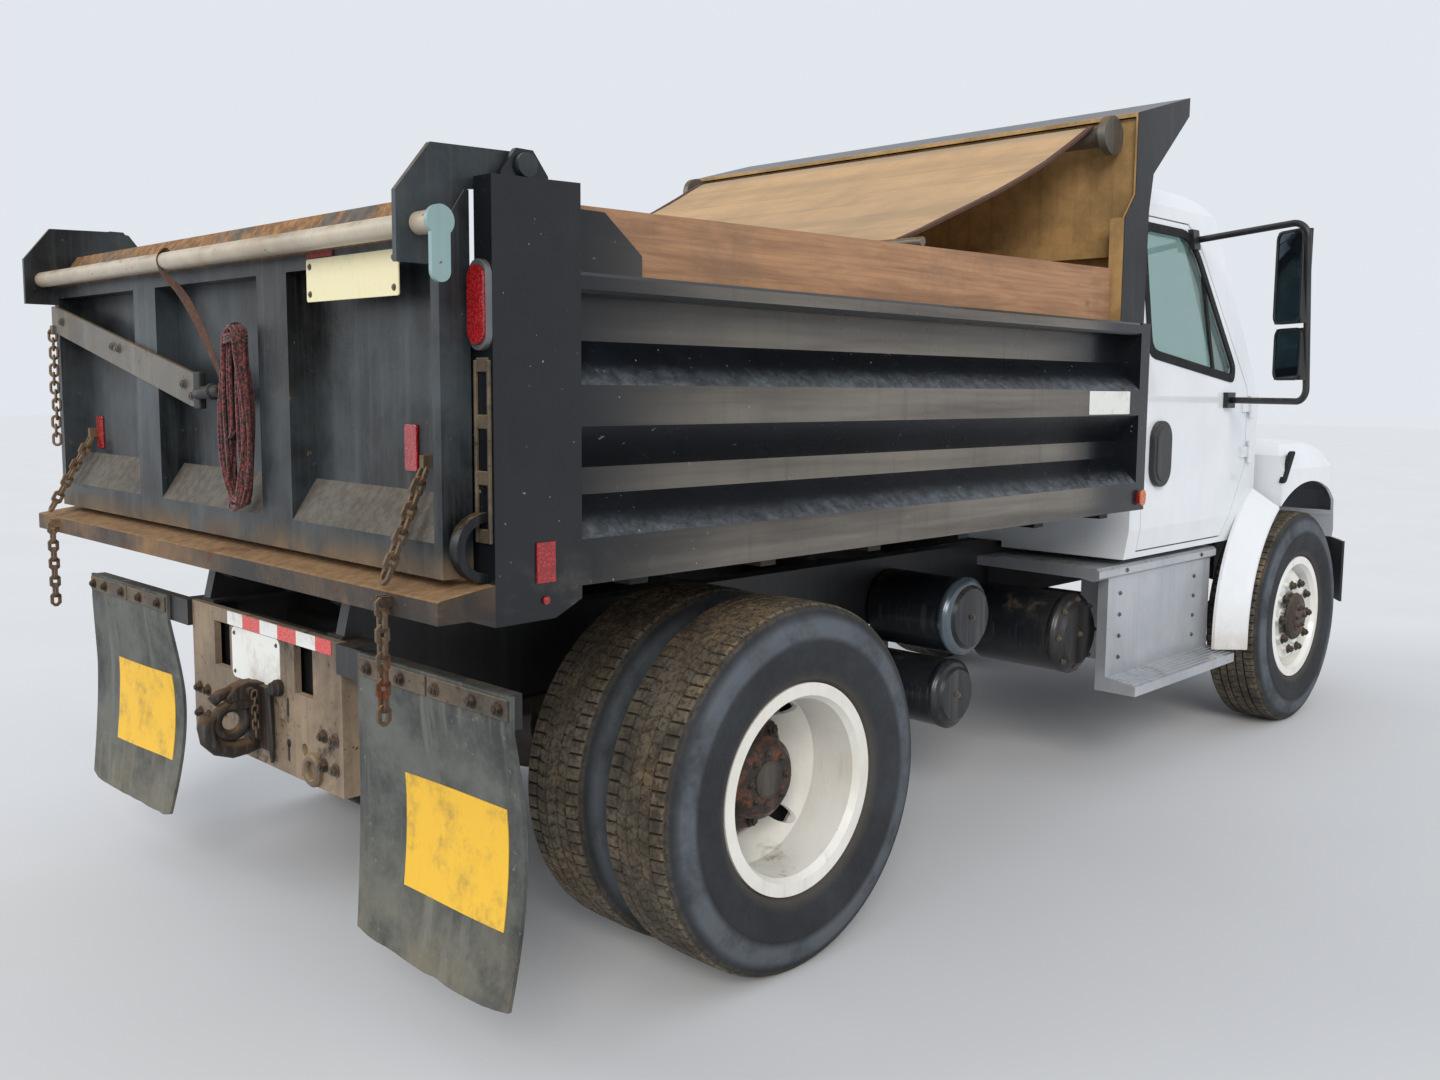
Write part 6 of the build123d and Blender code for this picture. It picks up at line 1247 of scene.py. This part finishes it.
def make_screen():
    opening = [(-0.860, 0.0654), (0.860, 0.0654), (0.790, 0.8932), (-0.790, 0.8932)]
    outer = softened(grown(opening, 0.020), 0.07, 4)
    inner = softened(grown(opening, -0.014), 0.06, 4)
    bm = bmesh.new()
    frame_ring(bm, [on_screen(y, v, -0.006) for y, v in outer], [on_screen(y, v, -0.006) for y, v in inner],
               SCREEN_OUT * 0.013)
    piece("screen_gasket", bm, "gasket", "chassis", bevel=0.003)
    bm = bmesh.new()
    prism(bm, [on_screen(-0.78, -0.004, 0.001), on_screen(0.78, -0.004, 0.001), on_screen(0.80, 0.040, 0.001),
               on_screen(-0.80, 0.040, 0.001)], SCREEN_OUT * 0.006)
    for n in range(38):
        y = -0.74 + n * 0.04
        prism(bm, [on_screen(y - 0.012, 0.004, 0.007), on_screen(y + 0.012, 0.004, 0.007),
                   on_screen(y + 0.012, 0.034, 0.007), on_screen(y - 0.012, 0.034, 0.007)], SCREEN_OUT * 0.003)
    piece("cowl_strip", bm, "plastic", "chassis")
    for n, (pivot, tip) in enumerate(((-0.46, 0.02), (0.16, 0.64))):
        bm = bmesh.new()
        turned(bm, [(0, 0.001), (0, 0.019), (0.012, 0.017), (0.017, 0.011), (0.017, 0.001)],
               on_screen(pivot, 0.022, 0.008), SCREEN_OUT, 24)
        tube(bm, [on_screen(pivot, 0.022, 0.021), on_screen(pivot + 0.06, 0.045, 0.030),
                  on_screen((pivot + tip) / 2, 0.085, 0.033), on_screen(tip - 0.10, 0.118, 0.026)], 0.006, 8)
        prism(bm, [on_screen(pivot + 0.04, 0.098, 0.009), on_screen(tip + 0.14, 0.138, 0.009),
                   on_screen(tip + 0.14, 0.138, 0.024), on_screen(pivot + 0.04, 0.098, 0.024)], SCREEN_UP * 0.009)
        for share in (0.25, 0.5, 0.75):
            y = pivot + 0.04 + (tip + 0.10 - pivot) * share
            v = 0.098 + 0.040 * share
            prism(bm, [on_screen(y - 0.025, v - 0.004, 0.022), on_screen(y + 0.025, v - 0.002, 0.022),
                       on_screen(y + 0.02, v, 0.030), on_screen(y - 0.02, v, 0.030)], SCREEN_UP * 0.016)
        piece(f"wiper_{n}", bm, "gasket", "chassis", bevel=0.0015)
    back = [(-0.620, 1.780), (0.620, 1.780), (0.600, 2.260), (-0.600, 2.260)]
    outer = softened(grown(back, 0.020), 0.06, 4)
    inner = softened(grown(back, -0.012), 0.05, 4)

    def on_back(y, z):
        return Vector((0.355 + 0.035 * (z - 1.65) / 0.8 - 0.006, y, z))

    bm = bmesh.new()
    frame_ring(bm, [on_back(y, z) for y, z in outer], [on_back(y, z) for y, z in inner], (0.010, 0, 0))
    piece("rear_pane_gasket", bm, "gasket", "chassis", bevel=0.002)


make_screen()


# Grille surround, headlamp bezels with reflectors, fog lamps in the bumper's swept ends
def make_front():
    outer = rounded(0.894, 0.262, 0.03, 4)
    inner = rounded(0.832, 0.204, 0.02, 4)
    bm = bmesh.new()
    frame_ring(bm, [(2.900, a, 1.078 + b) for a, b in outer], [(2.900, a, 1.078 + b) for a, b in inner], (0.016, 0, 0))
    piece("grille_surround", bm, "chrome", "hood", bevel=0.004)
    for side, name in ((1, "left"), (-1, "right")):
        y = side * 0.805
        bm = bmesh.new()
        frame_ring(bm, [(2.829, y + a, 1.015 + b) for a, b in rounded(0.246, 0.186, 0.03, 5)],
                   [(2.829, y + a, 1.015 + b) for a, b in rounded(0.206, 0.146, 0.022, 5)], (0.014, 0, 0))
        piece(f"headlamp_bezel_{name}", bm, "plastic", "hood", bevel=0.003)
        bm = bmesh.new()
        for at, r in ((y - side * 0.046, 0.046), (y + side * 0.052, 0.040)):
            turned(bm, [(0, r), (0.005, r), (0.007, r - 0.003), (0.004, r - 0.007), (0.001, r * 0.62),
                        (0.003, r * 0.55), (0.003, 0.001), (0, 0.001)], (2.8352, at, 1.012), (1, 0, 0), 32)
        piece(f"headlamp_bowls_{name}", bm, "mirror", "hood", smooth=False)
        bm = bmesh.new()
        axis = Vector((0.985, side * 0.171, 0))
        centre = Vector((2.9962, side * 0.728, 0.675))
        turned(bm, [(-0.002, 0.060), (0.004, 0.060), (0.007, 0.054), (0.004, 0.047), (0.002, 0.046),
                    (-0.002, 0.046)], centre, axis, 36)
        piece(f"fog_ring_{name}", bm, "plastic", "chassis")
        bm = bmesh.new()
        turned(bm, [(-0.002, 0.046), (0.002, 0.046), (0.005, 0.030), (0.006, 0.001), (-0.002, 0.001)], centre, axis, 36)
        piece(f"fog_lens_{name}", bm, "clear", "chassis", smooth=True)


make_front()


# Fuel tank: two straps with their clamps and a filler cap
def make_fuel_fittings():
    low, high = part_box("fuel_tank")
    y, z, r = high.y - 0.270, 0.640, 0.270
    for n, x in enumerate((low.x + 0.150, high.x - 0.150)):
        bm = bmesh.new()
        rings = []
        for k in range(57):
            a = radians(-118 + 236 * k / 56)
            out = Vector((0, cos(a), sin(a)))
            at = Vector((x, y, z))
            rings.append([bm.verts.new(at + out * (r + lift) + Vector((shift, 0, 0)))
                          for shift, lift in ((-0.024, 0.0005), (0.024, 0.0005), (0.024, 0.004), (-0.024, 0.004))])
        for a, b in zip(rings, rings[1:]):
            for k in range(4):
                bm.faces.new((a[k], a[(k + 1) % 4], b[(k + 1) % 4], b[k]))
        bm.faces.new(rings[0][::-1])
        bm.faces.new(rings[-1])
        piece(f"fuel_strap_{n}", bm, "bolt", "chassis")
        spots = [((x, y + r * cos(radians(a)) + 0.004 * cos(radians(a)), z + (r + 0.004) * sin(radians(a))),
                  (0, cos(radians(a)), sin(radians(a)))) for a in (-40, -20)]
        nuts(f"fuel_strap_bolts_{n}", "chassis", spots, "bolt", 0.010, 0.010)
    bm = bmesh.new()
    tilt = Vector((0, cos(radians(58)), sin(radians(58))))
    foot = Vector((high.x - 0.30, y, z)) + tilt * (r - 0.004)
    turned(bm, [(0, 0.001), (0, 0.062), (0.010, 0.062), (0.014, 0.050), (0.030, 0.050), (0.036, 0.046), (0.036, 0.001)],
           foot, tilt, 36)
    prism(bm, [foot + tilt * 0.036 + Vector((a, b * tilt.z, -b * tilt.y)) for a, b in rounded(0.084, 0.016, 0.007, 3)],
          tilt * 0.010)
    piece("fuel_cap", bm, "plastic", "chassis", bevel=0.002)


make_fuel_fittings()


# Pintle hook: latch block, its pin and a short keeper chain
def make_latch():
    bm = bmesh.new()
    side = [(-2.792, 0.790), (-2.842, 0.800), (-2.880, 0.788), (-2.902, 0.760), (-2.896, 0.744), (-2.866, 0.748),
            (-2.836, 0.742), (-2.792, 0.742)]
    prism(bm, [(x, -0.026, z) for x, z in side], (0, 0.052, 0))
    turned(bm, [(0, 0.001), (0, 0.013), (0.078, 0.013), (0.078, 0.001)], (-2.838, -0.039, 0.772), (0, 1, 0), 16)
    piece("pintle_latch", bm, "hook", "chassis", bevel=0.005)
    bm = bmesh.new()
    for n in range(6):
        along = Vector((0, 0.25 if n < 3 else -0.1, -1))
        at = Vector((-2.835, -0.048, 0.765)) + Vector((-0.001 * n, -0.003 * n, -0.0205 * n))
        link(bm, at, along, (0.35, 1, 0) if n % 2 else (-1, 0.3, 0), 0.034, 0.021, 0.0031, 14)
    piece("pintle_chain", bm, "chain", "chassis", smooth=True)
    bm = bmesh.new()
    turned(bm, [(0, 0.001), (0, 0.024), (0.016, 0.024), (0.018, 0.020), (0.030, 0.018), (0.030, 0.001)],
           (-2.7905, -0.115, 0.790), (-1, 0, 0), 20)
    piece("socket_boss", bm, "dark", "chassis", bevel=0.002)


# Pintle hook: heavy lower jaw, nose of the latch, and a cable loop beside it
def make_jaw():
    bm = bmesh.new()
    tube(bm, [(-2.800, 0, 0.622), (-2.838, 0, 0.610), (-2.880, 0, 0.606), (-2.920, 0, 0.620), (-2.947, 0, 0.648),
              (-2.953, 0, 0.684), (-2.944, 0, 0.712)], 0.024, 14)
    tube(bm, [(-2.880, 0, 0.772), (-2.912, 0, 0.768), (-2.934, 0, 0.752)], 0.017, 12)
    piece("pintle_jaw", bm, "hook", "chassis", smooth=True)
    bm = bmesh.new()
    tube(bm, [(-2.796, -0.050, 0.780), (-2.806, -0.078, 0.760), (-2.812, -0.094, 0.700), (-2.812, -0.100, 0.640),
              (-2.808, -0.094, 0.590), (-2.802, -0.078, 0.572), (-2.798, -0.066, 0.596), (-2.797, -0.062, 0.640)],
         0.0055, 8)
    piece("plate_bail", bm, "dark", "chassis", smooth=True)
    bm = bmesh.new()
    # Dark insets on the towing plate's face: painted shade standing for the slot openings.
    for z, tall, wide in ((0.742, 0.052, 0.010), (0.640, 0.022, 0.022), (0.612, 0.050, 0.008)):
        prism(bm, [(-2.7895, -0.158 + a, z + b) for a, b in rounded(wide, tall, wide * 0.45, 4)], (-0.0016, 0, 0))
    piece("plate_slot_shade", bm, "dark", "chassis")
    bm = bmesh.new()
    turned(bm, [(0, 0.024), (0, 0.046), (0.012, 0.046), (0.018, 0.040), (0.018, 0.029), (0.012, 0.024)],
           (-2.7898, -0.305, 0.596), (-1, 0, 0), 28)
    piece("plate_eye", bm, "tan", "chassis", smooth=False)


make_jaw()


# Engine: ribbed valve cover, manifolds, air filter, hoses, fan and its shroud
def make_engine():
    bm = bmesh.new()
    prism(bm, [(1.720, a, 1.343 + b) for a, b in rounded(0.250, 0.052, 0.018, 4)], (0.640, 0, 0))
    for n in range(9):
        prism(bm, [(1.760 + n * 0.068, a, 1.368 + b) for a, b in rounded(0.190, 0.012, 0.004, 3)], (0.014, 0, 0))
    turned(bm, [(0, 0.001), (0, 0.034), (0.016, 0.034), (0.022, 0.026), (0.022, 0.001)], (2.325, 0.070, 1.366),
           (0, 0, 1), 20)
    piece("valve_cover", bm, "cast", "chassis", bevel=0.003)
    bm = bmesh.new()
    tube(bm, [(1.740, 0.235, 1.352), (1.80, 0.240, 1.358), (2.30, 0.240, 1.358), (2.345, 0.230, 1.352)], 0.036, 14)
    for n in range(6):
        x = 1.80 + n * 0.096
        tube(bm, [(x, 0.240, 1.350), (x, 0.190, 1.346), (x, 0.120, 1.332)], 0.020, 10)
    piece("intake_manifold", bm, "cast", "chassis", smooth=True)
    bm = bmesh.new()
    tube(bm, [(1.750, -0.225, 1.345), (1.80, -0.230, 1.350), (2.30, -0.230, 1.350), (2.34, -0.225, 1.345)], 0.030, 14)
    for n in range(6):
        x = 1.80 + n * 0.096
        tube(bm, [(x, -0.230, 1.342), (x, -0.180, 1.336), (x, -0.120, 1.328)], 0.017, 10)
    turned(bm, [(0, 0.001), (0, 0.070), (0.030, 0.088), (0.065, 0.088), (0.090, 0.066), (0.120, 0.060), (0.150, 0.048),
                (0.150, 0.001)], (1.960, -0.360, 1.235), (1, 0, 0), 28)
    tube(bm, [(2.035, -0.345, 1.300), (2.040, -0.300, 1.340), (2.045, -0.240, 1.352)], 0.026, 12)
    piece("exhaust_manifold", bm, "hook", "chassis", smooth=True)
    bm = bmesh.new()
    turned(bm, [(0, 0.001), (0, 0.118), (0.012, 0.128), (0.060, 0.128), (0.064, 0.132), (0.076, 0.132), (0.080, 0.128),
                (0.300, 0.128), (0.320, 0.112), (0.332, 0.070), (0.332, 0.001)], (1.650, -0.600, 1.180), (1, 0, 0), 40)
    piece("air_filter", bm, "plastic", "chassis", bevel=0.003)
    bm = bmesh.new()
    tube(bm, [(1.975, -0.600, 1.180), (2.040, -0.590, 1.185), (2.130, -0.540, 1.200), (2.165, -0.460, 1.220),
              (2.150, -0.390, 1.235), (2.100, -0.360, 1.235)], 0.044, 16)
    tube(bm, [(2.330, -0.060, 1.350), (2.400, -0.080, 1.352), (2.470, -0.120, 1.330), (2.540, -0.160, 1.270),
              (2.585, -0.170, 1.205)], 0.026, 14)
    tube(bm, [(1.660, 0.560, 1.210), (1.760, 0.500, 1.215), (1.900, 0.400, 1.230), (1.960, 0.330, 1.250),
              (1.980, 0.300, 1.300)], 0.012, 10)
    piece("engine_ducts", bm, "rubber", "chassis", smooth=True)
    bm = bmesh.new()
    prism(bm, [(2.545, a, 1.200 + b) for a, b in rounded(0.660, 0.040, 0.014, 4)], (0.090, 0, 0))
    piece("radiator_tank", bm, "cast", "chassis", bevel=0.004)
    bm = bmesh.new()
    outer = [(2.480, a, 0.980 + b) for a, b in rounded(0.640, 0.390, 0.040, 11)]
    ring = [(2.480, 0.175 * p[1] / hypot(p[1], p[2] - 0.980), 0.980 + 0.175 * (p[2] - 0.980) / hypot(p[1], p[2] - 0.980))
            for p in outer]
    frame_ring(bm, outer, ring, (0.070, 0, 0))
    piece("fan_shroud", bm, "plastic", "chassis", bevel=0.002)
    bm = bmesh.new()
    turned(bm, [(0, 0.001), (0, 0.052), (0.030, 0.052), (0.034, 0.044), (0.034, 0.001)], (2.440, 0, 0.980),
           (1, 0, 0), 24)
    for n in range(8):
        a = 2 * pi * n / 8
        out, turn = Vector((0, cos(a), sin(a))), Vector((0, -sin(a), cos(a)))
        hub = Vector((2.455, 0, 0.980))
        prism(bm, [hub + out * 0.045 - turn * 0.022, hub + out * 0.163 - turn * 0.036 + Vector((-0.008, 0, 0)),
                   hub + out * 0.163 + turn * 0.030 + Vector((0.014, 0, 0)), hub + out * 0.045 + turn * 0.022],
              (0.004, 0, 0))
    piece("fan", bm, "dark", "chassis")


make_engine()


# Flaps: two clamp strips across the top of each
def make_flap_clamps():
    for side, name in ((1, "left"), (-1, "right")):
        bm = bmesh.new()
        for low, high in ((0.600, 0.905), (0.915, 1.232)):
            prism(bm, [(-2.8155, side * low, 0.912), (-2.8155, side * high, 0.912), (-2.8155, side * high, 0.960),
                       (-2.8155, side * low, 0.960)], (-0.005, 0, 0))
        piece(f"flap_clamps_{name}", bm, "tan", "chassis", bevel=0.0015)


make_flap_clamps()

# Steps: bolts and ribs on the treads
for side, name in ((1, "left"), (-1, "right")):
    spots = []
    for x in (0.43, 1.13):
        for z in (0.80, 0.71, 0.62, 0.53):
            spots.append(((x, side * 0.9855, z), (0, side, 0)))
    for x in (0.43, 1.14):
        spots.append(((x, side * 1.0125, 0.90), (0, side, 0)))
    nuts(f"step_bolts_{name}", "chassis", spots, "bolt", 0.0075, 0.006)
    bm = bmesh.new()
    for n in range(6):
        y = side * (0.998 + n * 0.020)
        z = 0.4582 - n * 0.0030
        prism(bm, [(0.335, y - 0.004, z - 0.004), (0.335, y + 0.004, z - 0.005), (0.335, y + 0.003, z + 0.0015),
                   (0.335, y - 0.003, z + 0.002)], (0.95, 0, 0))
    piece(f"step_ribs_{name}", bm, "tread", "chassis")


# Domed ends with rims and bolts on the air tanks and the canister
for n, (x, z, r, y) in enumerate(((-0.430, 0.785, 0.145, 0.830), (-0.470, 0.490, 0.128, 0.800),
                                  (0.295, 0.630, 0.165, 0.880))):
    bm = bmesh.new()
    inner = y - r * 0.25
    rows = [(inner - 0.02, r + 0.0025), (inner + 0.004, r + 0.0035)]
    for k in range(9):
        a = radians(90 * k / 8)
        rows.append((inner + 0.006 + (y - inner - 0.006) * sin(a), 0.001 + (r - 0.003) * cos(a) ** 0.8))
    rows.append((inner - 0.02, 0.001))
    turned(bm, [(a, b) for a, b in rows], (x, 0, z), (0, -1, 0), 56)
    # Only the upper tank's near end takes the lighter end material, a painted sheen; the other ends stay black.
    piece(f"tank_end_{n}", bm, "tank_end" if n == 0 else "tank", "chassis", smooth=True)
    spots = []
    for k in range(8 if n == 2 else 0):
        a = 2 * pi * k / 8
        spots.append(((x + (r - 0.02) * cos(a), -inner - 0.024, z + (r - 0.02) * sin(a)), (0, -1, 0)))
    spots.append(((x, -y, z), (0, -1, 0)))
    nuts(f"tank_bolts_{n}", "chassis", spots, "steel", 0.010, 0.010)


# Stored run of chain down the tailgate's left end
def link(bm, centre, along, across, long=0.048, wide=0.032, wire=0.0045, steps=18):
    """A rounded link as a closed tube on a stadium."""
    centre, along, across = Vector(centre), Vector(along).normalized(), Vector(across).normalized()
    out = along.cross(across)
    rings = []
    for k in range(steps):
        a = 2 * pi * k / steps
        c, s = cos(a), sin(a)
        mid = along * ((long - wide) / 2 * (1 if c > 0 else -1) + (wide / 2 - wire) * c) + across * (wide / 2 - wire) * s
        radial = (along * c + across * s).normalized()
        rings.append([bm.verts.new(centre + mid + (radial * cos(2 * pi * j / 6) + out * sin(2 * pi * j / 6)) * wire)
                      for j in range(6)])
    for k in range(steps):
        a, b = rings[k], rings[(k + 1) % steps]
        for j in range(6):
            bm.faces.new((a[j], a[(j + 1) % 6], b[(j + 1) % 6], b[j]))


make_latch()
bm = bmesh.new()
for n in range(13):
    turn = n % 2
    at = (-2.9395 + 0.002 * sin(n), 1.128 + 0.003 * sin(n * 1.3), 1.785 - 0.0285 * n)
    link(bm, at, (0, 0, -1), (0.35, 1, 0) if turn else (-0.45, 0.3, 0))
piece("stored_chain", bm, "chain", "tailgate", smooth=True)
bm = bmesh.new()
prism(bm, [(-2.921, 1.118, 1.788), (-2.921, 1.138, 1.788), (-2.921, 1.138, 1.818), (-2.921, 1.118, 1.818)],
      (-0.024, 0, 0))
piece("stored_chain_hook", bm, "steel", "tailgate", bevel=0.003)


# Stage and light
def soft_light(name, at, aim, spread, power, colour=(1, 1, 1)):
    """A far, wide lamp, so that the floor is lit evenly and no part of it clips."""
    data = bpy.data.lights.new(name, "SUN")
    data.angle = spread
    data.energy = power
    data.color = colour
    lamp = bpy.data.objects.new(name, data)
    bpy.context.scene.collection.objects.link(lamp)
    lamp.location = at
    lamp.rotation_euler = (Vector(aim) - Vector(at)).to_track_quat("-Z", "Y").to_euler()


def make_stage():
    bm = bmesh.new()
    s = 60
    bm.faces.new([bm.verts.new(p) for p in ((-s, -s, 0), (s, -s, 0), (s, s, 0), (-s, s, 0))])
    me = bpy.data.meshes.new("floor")
    bm.to_mesh(me)
    bm.free()
    floor = bpy.data.objects.new("floor", me)
    bpy.context.scene.collection.objects.link(floor)
    m = Mat("floor_pale")
    m.paint(m.mix(m.noise(0.8, 4, 0.5), lin("cbccce"), lin("d3d4d6"))).set(rough=0.9)
    me.materials.append(m.mat)
    world = bpy.data.worlds.new("world")
    bpy.context.scene.world = world
    world.use_nodes = True
    world.node_tree.nodes["Background"].inputs["Color"].default_value = (0.9, 0.94, 1.0, 1)
    world.node_tree.nodes["Background"].inputs["Strength"].default_value = 0.85
    soft_light("key", (-17, -17, 14), (0, 0, 1), 0.46, 1.8, (1.0, 0.96, 0.9))
    soft_light("fill", (-16, 16, 11), (0, 0, 1), 0.56, 0.95)
    bpy.context.scene.view_settings.view_transform = "Standard"


make_stage()
